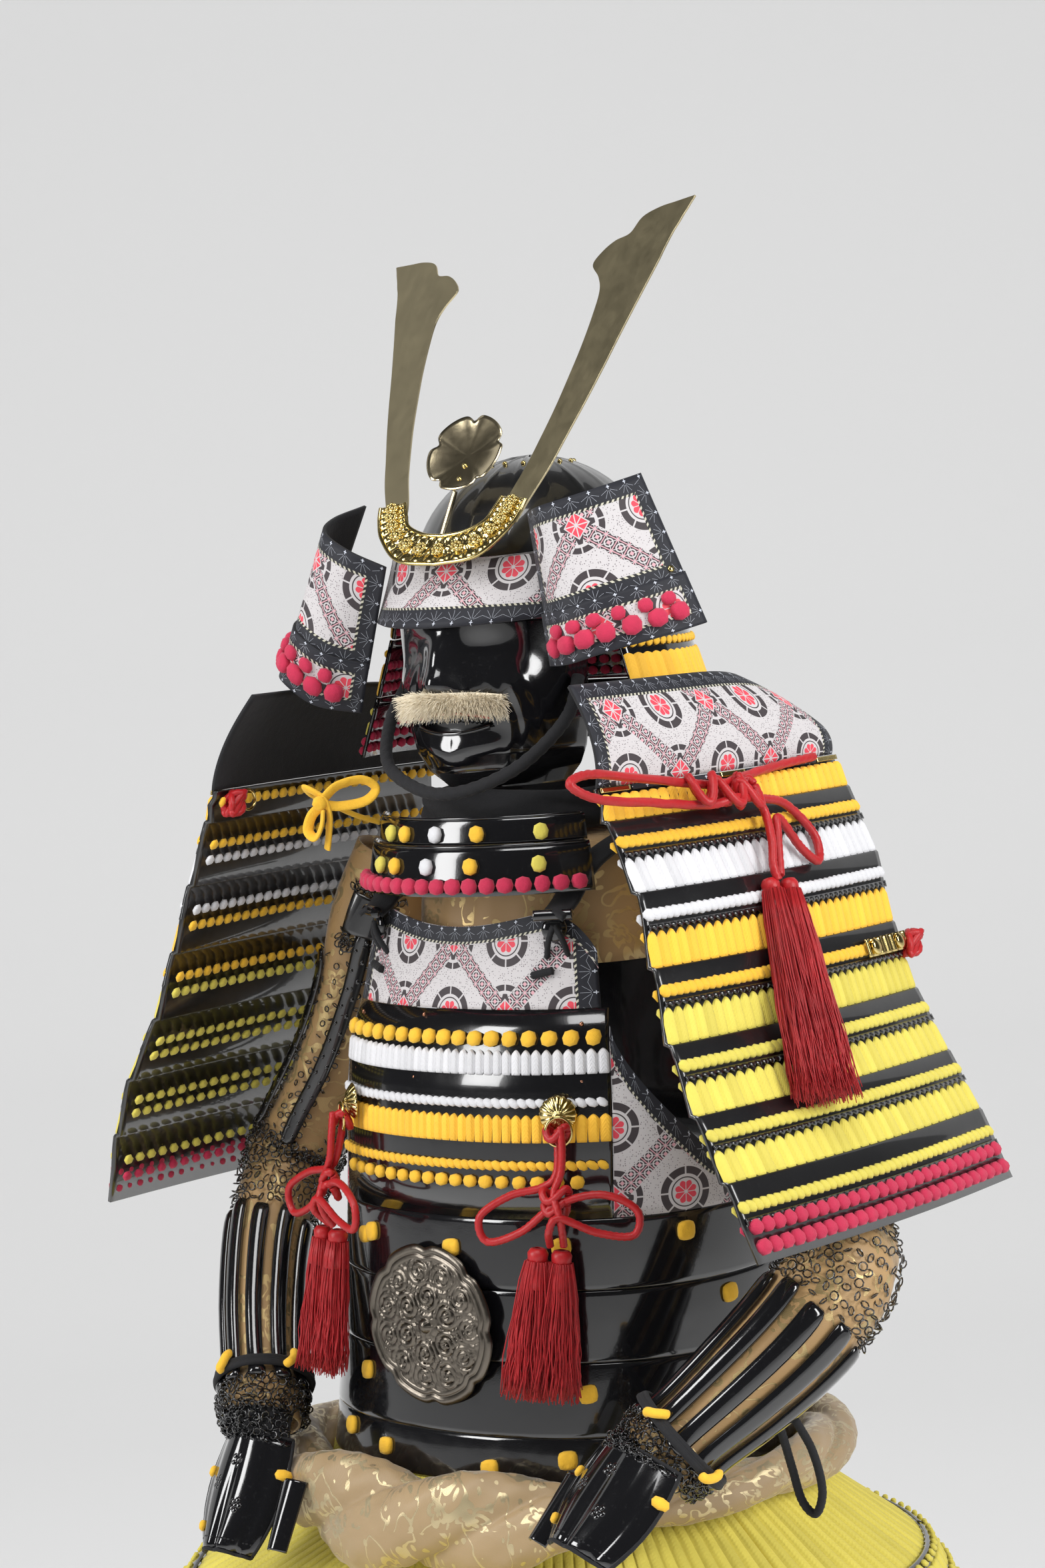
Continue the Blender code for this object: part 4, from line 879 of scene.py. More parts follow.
spot, along, up, out = frame_on(holder_at, u, 0.5 + 0 * u, 0.0070)
petals = spot[:, None] + 0.0042 * (np.cos(turn) * along[:, None] + np.sin(turn) * up[:, None])
along, up, out = (np.repeat(a, 8, 0) for a in (along, up, out))
beads("holder_petals", petals, along, up, out, (0.0019, 0.0019, 0.0016), gilt, "gilt", rings=5, sides=7)

# Crest disc: a dished flower of five notched petals in polished sheet brass, held by two rivets to a flat
# stalk that stands in the middle of the holder.
s, turn = np.linspace(0, 1, 13)[:, None], np.linspace(0, 2 * np.pi, 121)
petal = np.abs(np.cos(turn * 2.5))
notch = 0.036 * (1 - 0.14 * petal**22)
dish = -0.005 * (1 - s**2) + 0.0012 * s**2 * (1 - petal**8) - 0.0008 * s * petal**10
xyz = crest_at(-0.006 + s * notch * np.cos(turn + 0.314), 0.098 + s * notch * np.sin(turn + 0.314),
               dish + 0 * turn)
plate("crest_petals", xyz, mirror, "brass", ["crest_flower"], wall=0.0012, weld=True, look=(0, -1, 0.4))
spots = crest_at(np.array([-0.006, -0.006]), np.array([0.088, 0.074]), np.array([-0.0032, -0.0015]))
beads("crest_rivets", spots, (1, 0, 0), (0, 0.545, 0.839), (0, -0.839, 0.545), (0.0024, 0.0024, 0.0013),
      gilt, "gilt")
tube("crest_stem", crest_at(np.full(30, -0.006), np.linspace(0.004, 0.0640, 30), -0.0016 + 0 * np.arange(30)),
     0.0030, mirror, "brass", ["crest_stalk"], sides=8, flat=0.5)


# Throat guard: two lacquered plates hung under the mask on silk, with single knots of lemon, orange and white
# and a row of crimson knots along the foot.
THROAT = {"throat_lame_upper": [(-0.036, 0.124), (-0.040, 0.126), (-0.0570, 0.129)],
          "throat_lame_lower": [(-0.058, 0.133), (-0.062, 0.135), (-0.078, 0.138), (-0.097, 0.141)]}
for node, levels in THROAT.items():
    levels = np.array(levels)

    def throat_at(u, s, out=0.0):
        """An arc in front of the neck; s is the height."""
        f = np.radians(-60 + 118 * np.asarray(u, float))
        r = np.interp(-s, -levels[:, 0], levels[:, 1]) + out
        return stack(r * np.sin(f), -0.027 - r * np.cos(f), s + 0 * f)

    z = np.linspace(levels[0, 0], levels[-1, 0], 9)[:, None]
    plate(f"{node}_plate", throat_at(np.linspace(0, 1, 61)[None], z), gloss, "lacquer", [node], wall=0.0026,
          look=(0, -1, 0))
    tube(f"{node}_rim", throat_at(np.linspace(0, 1, 61), levels[0, 0] + 0.0002, 0.0012), 0.0013, gloss,
         "lacquer", sides=8)
    mid = -0.048 if "upper" in node else -0.073
    for u, tone in ((0.30, "lemon"), (0.385, "orange"), (0.52, "white"), (0.665, "orange"), (0.86, "lemon")):
        beads_on(f"{node}_knot_{int(u * 100)}", throat_at, u - 0.012 * (mid < -0.06), mid, 0.0035,
                 (0.0066, 0.0070, 0.0048), LACES[tone][1], "lacing", fold=0.45, flat=0.3)
row("throat_knots", throat_at, -0.0885, 19, crimson_felt, (0.0072, 0.0070, 0.0056), 0.0045, fold=0.4,
    ends=(0.02, 0.98))

# Ribbon of flat orange silk that ties the throat guard to the mask at the wearer's right. It is knotted in a
# bow of two loops, and one end hangs.
def length_of(line):
    """How long a line of points is."""
    return float(np.linalg.norm(np.diff(line, axis=0), axis=1).sum())


ribbon_line = smooth_path([(-0.1118, -0.0932, -0.0450), (-0.1245, -0.1100, -0.0370),
                           (-0.1370, -0.1240, -0.0270), (-0.1500, -0.1360, -0.0170),
                           (-0.1450, -0.1460, -0.0110), (-0.1330, -0.1400, -0.0200),
                           (-0.1300, -0.1370, -0.0340), (-0.1340, -0.1350, -0.0500),
                           (-0.1380, -0.1340, -0.0640)], 90)
ribbon = tube("neck_ribbon_tie", ribbon_line, 0.0050, orange_felt, "lacing", ["neck_ribbon"], sides=14,
              flat=0.45)
tuple(ribbon_line[0])
length_of(ribbon_line)
[tuple(p) for p in ribbon_line]
for k, loop in enumerate(([(-0.133, -0.141, -0.021), (-0.122, -0.134, -0.010), (-0.106, -0.121, -0.006),
                           (-0.098, -0.113, -0.014), (-0.106, -0.118, -0.024), (-0.122, -0.131, -0.027),
                           (-0.132, -0.141, -0.025)],
                          [(-0.134, -0.143, -0.026), (-0.142, -0.146, -0.034), (-0.146, -0.147, -0.046),
                           (-0.139, -0.146, -0.052), (-0.133, -0.144, -0.042), (-0.132, -0.142, -0.028)])):
    tube(f"neck_ribbon_loop_{k + 1}", smooth_path(loop, 50), 0.0046, orange_felt, "lacing", sides=12,
         flat=0.42)
beads("neck_ribbon_knot", [(-0.1335, -0.1440, -0.0235)], (0.77, 0.64, 0), (0, 0, 1), (0.64, -0.77, 0),
      (0.0068, 0.0066, 0.0055), orange_felt, "lacing", fold=0.4)

# Neck wrap: a soft black cotton scarf wound round the neck under the chin and tucked into the yoke. Each row
# gives a height and a radius from its inner edge over the fold to its outer one.
ang = np.linspace(0, 2 * np.pi, 81)
WRAP = [(-0.030, 0.066), (-0.020, 0.078), (-0.022, 0.091), (-0.034, 0.096), (-0.0488, 0.092)]
wrap = smooth_path(WRAP, 17)
z, r = wrap[:, :1], wrap[:, 1:]
r = r + 0.0016 * np.sin(3 * ang + 60 * z * 6) + 0.0010 * np.sin(11 * ang + 400 * z)
scarf_shape = stack(r * np.sin(ang), -0.02 - r * 1.02 * np.cos(ang), z + 0.002 * np.cos(3 * ang))


def cloth_cut(xyz):
    """Works out a piece's area and its mean girth, the width of its cut, and does nothing more with them."""
    area = np.linalg.norm(crossed(xyz, cells(*xyz.shape[:2])), axis=1).sum() / 2
    wide = np.linalg.norm(np.diff(xyz, axis=1), axis=2).sum(1).mean()


scarf = plate("scarf", scarf_shape, black_cloth, "black_cloth", ["neck_wrap"], wall=0.003, weld=True)

# Brocade: tan silk with flowers and leaves woven in gold thread. It is cut as a yoke that lies on the
# shoulders under the straps, and as the sleeves.
def brocade(name, ground=(0.42, 0.26, 0.11), thread=(0.86, 0.64, 0.30), size=0.05):
    """Tan satin with a figure of scrolls, flowers and leaves in gilt thread, woven in fine floats."""
    mat = Finish(name, ground, 0.42, Sheen_Weight=0.35, Sheen_Roughness=0.35)
    spot = mat.where.outputs["UV"]
    warp = mat.add("TexNoise", 1, Vector=spot, Scale=26.0, Detail=2.0)
    shift = mat.add("VectorMath", 0, settings={"operation": "SCALE"}, Vector=warp, Scale=0.034)
    moved = mat.vector("ADD", spot, shift.socket)
    node = mat.tree.nodes.new("ShaderNodeTexVoronoi")
    node.inputs["Scale"].default_value, node.inputs["Randomness"].default_value = 1 / size, 0.75
    mat.tree.links.new(moved.socket, node.inputs["Vector"])
    rel = mat.vector("SUBTRACT", moved.socket, node.outputs["Position"])
    parts = mat.tree.nodes.new("ShaderNodeSeparateXYZ")
    mat.tree.links.new(rel.socket, parts.inputs[0])
    x, y = Field(mat.tree, parts.outputs[0]), Field(mat.tree, parts.outputs[1])
    r, turn = polar(x, y)
    r = r / size
    petal = (turn * 2.5).wave().size() * 0.13 + 0.15
    flower = ((r / petal) < 1.0) * (((r / petal) * 9.0).wave() > -0.35)
    leaf = mat.add("TexVoronoi", "Distance", Vector=moved, Scale=4.2 / size, Randomness=1.0)
    stem = mat.add("TexNoise", Vector=moved, Scale=1.3 / size, Detail=1.0)
    figure = flower.either((leaf < 0.26) * (r > 0.34)).either((stem - 0.5).size() * (r + 1) < 0.018)
    u, v = mat.cloth_at()
    weave = (((u + v) / 0.0011 * 6.2832).wave() * 0.5 + 0.5) * 0.6 + mat.noise(1500, 2, at="UV") * 0.4
    tone = mat.mix(mat.noise(7, 3), tuple(c * 0.72 for c in ground),
                   tuple(min(1.0, c * 1.25) for c in ground))
    mat.put("Base Color", mat.mix(figure, tone, mat.mix(weave, tuple(c * 0.55 for c in thread), thread)))
    mat.put("Metallic", figure * 0.75)
    mat.put("Roughness", figure * -0.10 + 0.46)
    return mat.bump(figure, 0.0005).bump(weave, 0.00012)


silk_brocade = brocade("tan_brocade")
YOKE = [(0.080, 0.082, -0.0525), (0.1065, 0.100, -0.0615), (0.120, 0.106, -0.0775), (0.120, 0.110, -0.110),
        (0.122, 0.116, -0.160)]
rows = smooth_path(YOKE, 17)
fold = 0.0016 * np.sin(14 * ang + 2 * np.sin(3 * ang)) * np.linspace(0, 1, 17)[:, None]
yoke_shape = stack((rows[:, :1] + fold) * np.sin(ang), -(rows[:, 1:2] + fold) * np.cos(ang), rows[:, 2:])
yoke = plate("yoke_cloth", yoke_shape, silk_brocade, "brocade", ["yoke"], wall=0.0024, weld=True)
cloth_cut(yoke_shape)
cloth_cut(scarf_shape)


# Cuirass: iron and hide plates in black lacquer, laced over the chest and closed with hoops round the belly,
# with printed leather over the breast and the sides.
TORSO = [(-0.08, 0.150, 0.125, 0.0), (-0.12, 0.160, 0.134, 0.0), (-0.19, 0.178, 0.147, -0.002),
         (-0.215, 0.184, 0.150, -0.006), (-0.27, 0.190, 0.155, -0.009), (-0.36, 0.192, 0.156, -0.015),
         (-0.47, 0.194, 0.158, -0.025), (-0.575, 0.202, 0.165, -0.034), (-0.60, 0.202, 0.165, -0.034)]
SQUARE = 2.25


def torso(phi, z, out=0.0):
    """A point on the body's squarish oval at an angle from the front, turning towards the wearer's left."""
    phi, z = np.broadcast_arrays(np.radians(phi), z)
    a, b = table(TORSO, z, 1), table(TORSO, z, 2)
    r = (np.abs(np.sin(phi) / a) ** SQUARE + np.abs(np.cos(phi) / b) ** SQUARE) ** (-1 / SQUARE) + out
    return stack(r * np.sin(phi) + table(TORSO, z, 3), -r * np.cos(phi), z)


PANEL, TOP, BREAST, WAIST = 51.0, -0.112, -0.190, -0.358
phi = np.linspace(-PANEL + 2, PANEL - 2, 81)
v = np.linspace(0, 1, 21)[:, None]
dip = TOP - 0.013 * np.cos(np.radians(phi * 90 / 34)).clip(0) ** 0.8 - 0.028 * (np.abs(phi) / 48) ** 8
xyz = torso(phi, dip + (BREAST - dip) * v)
wide = float(sheet_uv(xyz)[10, -1, 0] * 2)
uv = np.stack([(phi / (2 * PANEL - 4)) * wide + 0 * v, (dip + (BREAST - dip) * v) - TOP], -1)
chest_print = printed("chest_print", wide, 0.9, sides=(1, 1, 0, 0))
plate("chest_leather", xyz, chest_print, "print", ["chest_plate"], wall=0.0024, uv=uv, look=(0, -1, 0))
# The black edge along the chest plate's scooped top, with its own fans and the braid below it
border_v = np.linspace(0, 1, 9)[:, None]
xyz = torso(phi, dip - 0.0145 * border_v, 0.0016)
uv = np.stack([(phi / (2 * PANEL - 4)) * wide + 0 * border_v, -0.0145 * border_v + 0 * phi], -1)
edging = printed("edging_print", 9.0, 9.0, edge=0.0128, sides=(0, 0, 1, 0))
plate("chest_edging", xyz, edging, "print", uv=uv, look=(0, -1, 0))


def front_at(u, s, out=0.0):
    """The cuirass's front panel: u across it, s the height."""
    return torso(-PANEL + 2 * PANEL * np.asarray(u, float), s, out)


steel = lacquer("front_lacquer", 0.14)
z = np.array([BREAST - 0.0005, -0.215, -0.240, -0.2415, -0.2560, -0.285, -0.2965, -0.3060, -0.330, WAIST])
lift = np.array([0, 0, 0.0005, 0.0012, 0.0012, 0.0004, 0.0012, 0.0012, 0.0005, 0])
plate("front_plates", front_at(np.linspace(0, 1, 101)[None], z[:, None], lift[:, None]), steel, "lacquer",
      ["front_panel"], wall=0.0026, look=(0, -1, 0))
row("front_knots_high", front_at, -0.2125, 17, orange_felt, (0.0071, 0.0070, 0.0046), 0.0040, fold=0.30,
    ends=(0.01, 0.99))
laces("front_lacing_white", front_at, (-0.2215, -0.2420), 34, white_silk, thick=0.0036, peak=0.22,
      lift=0.0012)
row("front_braid_white", front_at, -0.2640, 38, white_felt, (0.0058, 0.0036, 0.0030), 0.0040, tilt=-0.55,
    flat=0.0, ends=(0.01, 0.99))
laces("front_lacing_orange", front_at, (-0.2735, -0.2965), 34, orange_silk, thick=0.0036, peak=0.16,
      lift=0.0012)
row("front_braid_orange", front_at, -0.3145, 38, orange_felt, (0.0058, 0.0036, 0.0030), 0.0040, tilt=-0.55,
    flat=0.0, ends=(0.01, 0.99))
row("front_knots_low", front_at, -0.3280, 17, orange_felt, (0.0064, 0.0056, 0.0042), 0.0035, fold=0.30,
    ends=(0.06, 0.94))
copper = metal("copper", (0.50, 0.24, 0.15), 0.3)
for k, (u, z) in enumerate(((0.40, -0.1955), (0.93, -0.202), (0.07, -0.200), (0.38, -0.2465), (0.93, -0.2475),
                            (0.07, -0.2470))):
    beads_on(f"front_rivet_{k + 1}", front_at, u, z, 0.0016, (0.0019, 0.0019, 0.0012), copper,
             "brass", rings=5)

# Side guards: iron plates faced with printed leather that fill in under the arms, scooped for them, edged
# like the breast and laced to the front and back plates.
for side, name in SIDES:
    u = np.linspace(0, 1, 61)
    top = -0.205 - 0.118 * np.clip(u / 0.55, 0, 1) ** 0.7
    v = np.linspace(0, 1, 13)[:, None]
    level = top + (WAIST - top) * v
    xyz = torso(side * (PANEL + 0.3 + 52.3 * u), level)
    uv = np.stack([side * u * 0.165 + 0 * v, level + 0.205], -1)
    plate(f"side_leather_{name}", xyz, printed(f"side_print_{name}"), "print", [f"side_guard_{name}"],
          wall=0.0024, uv=uv, look=(side, -0.3, 0))
    deep = np.minimum(0.021, (top - WAIST) * 0.45)
    xyz = torso(side * (PANEL + 0.3 + 52.3 * u), top - deep * border_v, 0.0016)
    far = np.cumsum(np.hypot(np.gradient(u * 0.165), np.gradient(top)))
    uv = np.stack([far + 0 * border_v, -0.0150 * border_v + 0 * u], -1)
    mat = printed(f"side_edging_print_{name}", 9.0, 9.0, edge=0.0132, sides=(0, 0, 1, 0))
    plate(f"side_edging_{name}", xyz, mat, "print", uv=uv, look=(side, -0.3, 0))

# Back plate and the four hoops round the belly, beaten from iron and lacquered, each a plate of its own
# riveted to the next. Square knots of orange silk cover the rivets.
phi = np.linspace(104, 256, 61)
top = -0.105 - 0.11 * np.abs((phi - 180) / 76) ** 3
plate("back_lacquer", torso(phi, top + (WAIST - top) * np.linspace(0, 1, 9)[:, None]), gloss, "lacquer",
      ["back_plate"], wall=0.0026, look=(0, 1, 0))
for i, (top, low) in enumerate(((-0.3587, -0.4163), (-0.4170, -0.4753), (-0.4760, -0.5363),
                                (-0.5370, -0.5750))):
    t = np.array([0.0, 0.03, 0.08, 0.5, 0.92, 0.97, 1.0])[:, None]
    out = 0.001 * t - 0.0010 * np.array([1, 0.2, 0, 0, 0, 0.2, 1])[:, None]
    plate(f"hoop_{i + 1}", torso(np.linspace(0, 360, 145)[None], top + (low - top) * t, out), gloss,
          "lacquer", [f"belly_hoop_{i + 1}"], wall=0.0026, weld=True)


def hoop_at(u, s, out=0.0):
    """The hoops as one surface: u once round, s the height."""
    return torso(360 * np.asarray(u, float), s, out)


SPOTS = [(-31.0, -0.380), (3.4, -0.384), (38, -0.380), (69, -0.374), (-31, -0.497), (3.8, -0.504),
         (45, -0.500), (82, -0.432), (-38, -0.548), (-20, -0.556), (18.5, -0.562), (40, -0.553),
         (110, -0.384), (145, -0.384), (180, -0.384), (215, -0.384), (250, -0.384), (290, -0.384),
         (325, -0.384), (120, -0.500), (160, -0.500), (200, -0.500), (240, -0.500), (285, -0.500)]
spots = np.array(SPOTS)
beads_on("hoop_knots", hoop_at, spots[:, 0] / 360, spots[:, 1], 0.0030, (0.0082, 0.0080, 0.0040), orange_felt,
         "lacing", fold=0.4, flat=0.9, tilt=0.12, sides=16)

# Shoulder straps of black padded cloth, sewn to the back plate and tied to the breast with toggles of black
# horn and short black cords.
def facing_out(degrees):
    """The level direction out of the body at an angle from its front, towards the wearer's left."""
    f = np.radians(degrees)
    return np.array([np.sin(f), -np.cos(f), 0])


for side, name in SIDES:
    mid = smooth_path([(0.096, -0.132, -0.113), (0.096, -0.112, -0.102), (0.100, -0.080, -0.072),
                       (0.120, -0.030, -0.049), (0.124, 0.030, -0.049), (0.118, 0.080, -0.066),
                       (0.104, 0.118, -0.104)], 60)
    w = np.linspace(-1, 1, 13) * 0.013
    xyz = mid[:, None] + stack(w, 0 * w, -30 * w**2)
    xyz[..., 0] *= side
    plate(f"strap_{name}", xyz, black_cloth, "black_cloth", [f"shoulder_strap_{name}"], wall=0.004,
          look=(0, 0, 1))
    q = torso(side * 37.0, -0.1225, 0.0085)
    n = facing_out(side * 34)
    a = np.cross([0, 0, 1.0], n)
    t = np.linspace(-0.017, 0.017, 24)[:, None]
    tube(f"toggle_{name}", q + a * t + n * 0.006 + np.array([0, 0, 0.008]), 0.0048, gloss,
         "lacquer", sides=14)
    beads(f"toggle_disc_{name}", [q + np.array([0, 0, -0.004])], a, (0, 0, 1), n, (0.0105, 0.0100, 0.0042),
          gloss, "lacquer", rings=11, sides=22)
    for k, dx in enumerate((-0.008, 0.010)):
        middle = q + a * dx * 0.6 + n * 0.004 + np.array([0, 0, -0.012])
        end = q + a * dx - n * 0.004 + np.array([0, 0, -0.028])
        line = smooth_path([q + n * 0.004, middle, end], 24)
        tube(f"toggle_cord_{name}_{k + 1}", line, 0.0026, black_cloth, "black_cloth", sides=9, lobes=3,
             pitch=0.012)
    line = torso(side * np.linspace(31.5, 38.5, 20) - 2, -0.163 + 0.004 * np.linspace(0, 1, 20), 0.0035)
    tube(f"breast_tie_{name}", line, 0.0034, black_cloth, "black_cloth", sides=9, lobes=3, pitch=0.014)


# Boss on the belly: a round notched plate cast in dark bronze, with a scroll of clouds in relief round a
# knob. Two rivets from behind hold it on the hoops.
bronze = metal("dark_bronze", (0.20, 0.175, 0.145), 0.30, dirt=0.6)
grime = bronze.noise(260, 4)
bronze.bump(grime, 0.0002)
turn, s = np.linspace(0, 2 * np.pi, 169), np.linspace(0, 1, 54)[:, None] ** 0.8
edge = 0.066 * (1 - 0.050 * np.abs(np.cos(turn * 4)) ** 14)
x, y = s * edge * np.cos(turn), s * edge * np.sin(turn)
relief, total = 0 * x, 0 * x + 1e-6
for k in range(17):
    ring_k, far = (0, 0.024) if k < 6 else (1, 0.044)
    place = k * 1.0472 + 0.4 if k < 6 else (k - 6) * 0.5712
    cx, cy = far * np.cos(place), far * np.sin(place)
    d, a = np.hypot(x - cx, y - cy), np.arctan2(y - cy, x - cx)
    near = np.exp(-((d / 0.0095) ** 2))
    relief = relief + near * np.cos((1 if k % 2 else -1) * a + d * 1250 + k)
    total = total + near
relief = 0.0011 * (relief / np.maximum(total, 0.25)) * (s > 0.12) * (s < 0.83)
high = 0.005 * (1 - s**2) + 0.0055 * np.exp(-((s / 0.070) ** 4))
high = high + 0.0012 * np.exp(-(((s - 0.125) / 0.012) ** 2)) + relief
high = high + 0.0019 * np.exp(-(((s - 0.955) / 0.032) ** 4)) + 0.0012 * np.exp(-(((s - 0.86) / 0.014) ** 2))
xyz = stack(-0.030 + x, -0.1648 - high, -0.448 + y)
plate("boss_disc", xyz, bronze, "bronze", ["plaque"], wall=0.003, weld=True, look=(0, -1, 0))


# Red silk: a satin-bright cord laid up from three strands, and loose floss for the tassels, which hang from
# heads that are bound round with the same cord.
red_silk = cloth("red_silk", (0.45, 0.006, 0.010), scale=1100, depth=0.0002, sheen=0.12, vary=0.25,
                 rough=0.38)
red_floss = cloth("red_floss", (0.42, 0.005, 0.009), scale=1600, depth=0.0001, sheen=0.12, vary=0.35,
                  rough=0.45)


def twisted(name, path, radius, nodes=()):
    """A cord laid up from three red strands."""
    return tube(name, path, radius, red_silk, "red_cord", nodes, sides=12, lobes=3, pitch=0.0135, depth=0.20)


def tassel(name, top, end, face, width, thick, broad, deep, heads, count, nodes, seed):
    """Bound heads of twisted cord over a bell of loose floss: each strand starts under the head's collar,
    falls to the tassel's end with a small wave of its own, and spreads out from the middle as it goes."""
    top, end, face = (np.array(p, float) for p in (top, end, face))
    length = np.linalg.norm(end - top)
    down = (end - top) / length
    side = unit(np.cross(face, down))
    face = np.cross(down, side)
    r = np.array([0.30, 0.62, 0.80, 0.76, 0.62, 0.62, 0.74, 0.86, 0.94, 1.0])[:, None]
    z = np.array([0.000, 0.001, 0.004, 0.009, 0.011, 0.013, 0.0145, 0.018, 0.024, 0.032])[:, None]
    a = np.linspace(0, 2 * np.pi, 49)
    for k, place in enumerate(heads):
        half = broad / len(heads) * 1.05
        ripple = 1 + 0.045 * np.cos(18 * a + 300 * z) * (z > 0.012)
        x, y = place * broad + r * half * ripple * np.cos(a), r * min(deep, half) * ripple * np.sin(a)
        xyz = top + down * z[..., None] + side * x[..., None] + face * y[..., None]
        plate(f"{name}_head_{k + 1}", xyz, red_silk, "red_cord", weld=True, wall=0.0008)
    rng = np.random.default_rng(seed)
    head = rng.integers(0, len(heads), count)
    ang = rng.random(count) * 2 * np.pi
    rad = np.sqrt(rng.random(count)) * (0.92 + 0.16 * (rng.random(count) > 0.88))
    rows, around = 8, 4
    t = np.linspace(0, 1, rows)
    x0 = np.array(heads)[head] * broad + rad * broad / len(heads) * np.cos(ang)
    y0 = rad * deep * np.sin(ang)
    x1 = (np.array(heads)[head] * 0.46 + 0.50 * rad * np.cos(ang)) * width * (1.0 if len(heads) > 1 else 1.9)
    y1 = rad * thick * 0.95 * np.sin(ang) + 0.001
    grow = t**0.72
    reach = (length - 0.010) * (0.90 + 0.10 * rng.random(count))
    wave = 0.0019 * np.sin(t[None] * (9 + 9 * rng.random((count, 1))) + 6.3 * rng.random((count, 1))) * t
    wave_y = 0.0015 * np.sin(t[None] * (8 + 9 * rng.random((count, 1))) + 6.3 * rng.random((count, 1))) * t
    x = x0[:, None] + (x1 - x0)[:, None] * grow + wave
    y = y0[:, None] + (y1 - y0)[:, None] * grow + wave_y
    line = top + (0.010 + reach[:, None] * t)[..., None] * down + x[..., None] * side + y[..., None] * face
    thin = 0.00070 - 0.00025 * t
    spin = np.arange(around) * np.pi / 2
    ring = line[:, :, None] + thin[:, None, None] * (np.cos(spin)[:, None] * side
        + np.sin(spin)[:, None] * face)
    last = (rows - 1) * around
    i, j = np.repeat(np.arange(0, last, around), around), np.tile(np.arange(around), rows - 1)
    after = (j + 1) % around
    wall = np.stack([i + j, i + after, i + around + after, i + around + j], -1)
    faces = copies(np.concatenate([wall, [[3, 2, 1, 0]], last + np.arange(around)[None]]),
                   rows * around, count)
    uv = np.stack(np.broadcast_arrays(np.arange(around) * 0.002, (t * length)[:, None]), -1)
    uv = np.broadcast_to(uv, (count, rows, around, 2))
    if (crossed(ring, faces[:last]) * (ring.reshape(-1, 3)[faces[:last]].mean(1)
                                       - line[0].mean(0))).sum() < 0:
        faces = faces[:, ::-1]
    look = crossed(ring, faces).sum(0) + 1e-9
    place_mesh(f"{name}_floss", ring, faces, red_floss, "red_cord", nodes, uv=uv, look=look)


# Chest cords: from a brass ring on each rosette a doubled red cord hangs, tied in a bow, with two tassels at
# its ends.
HANG, UPWARD = np.array([-0.049, -0.041, -0.998]), np.array([0, 0, 1.0])
BOW = [(0, -0.009, 0.003), (0, -0.044, 0.004), (-0.012, -0.056, 0.002), (-0.038, -0.062, 0.0),
       (-0.062, -0.078, 0.0), (-0.056, -0.098, 0.0), (-0.028, -0.090, 0.006), (0.0, -0.069, 0.012),
       (0.036, -0.062, 0.010), (0.064, -0.076, 0.006), (0.062, -0.096, 0.006), (0.034, -0.092, 0.012),
       (0.004, -0.078, 0.020), (-0.004, -0.088, 0.020), (-0.005, -0.1028, 0.0045)]
SECOND = np.array([(0.0035, -0.006, 0.008), (0.0050, -0.026, 0.010), (0.0040, -0.044, 0.011),
                   (-0.001, -0.060, 0.014), (0.004, -0.076, 0.020), (0.006, -0.090, 0.017),
                   (0.0062, -0.103, 0.008)])
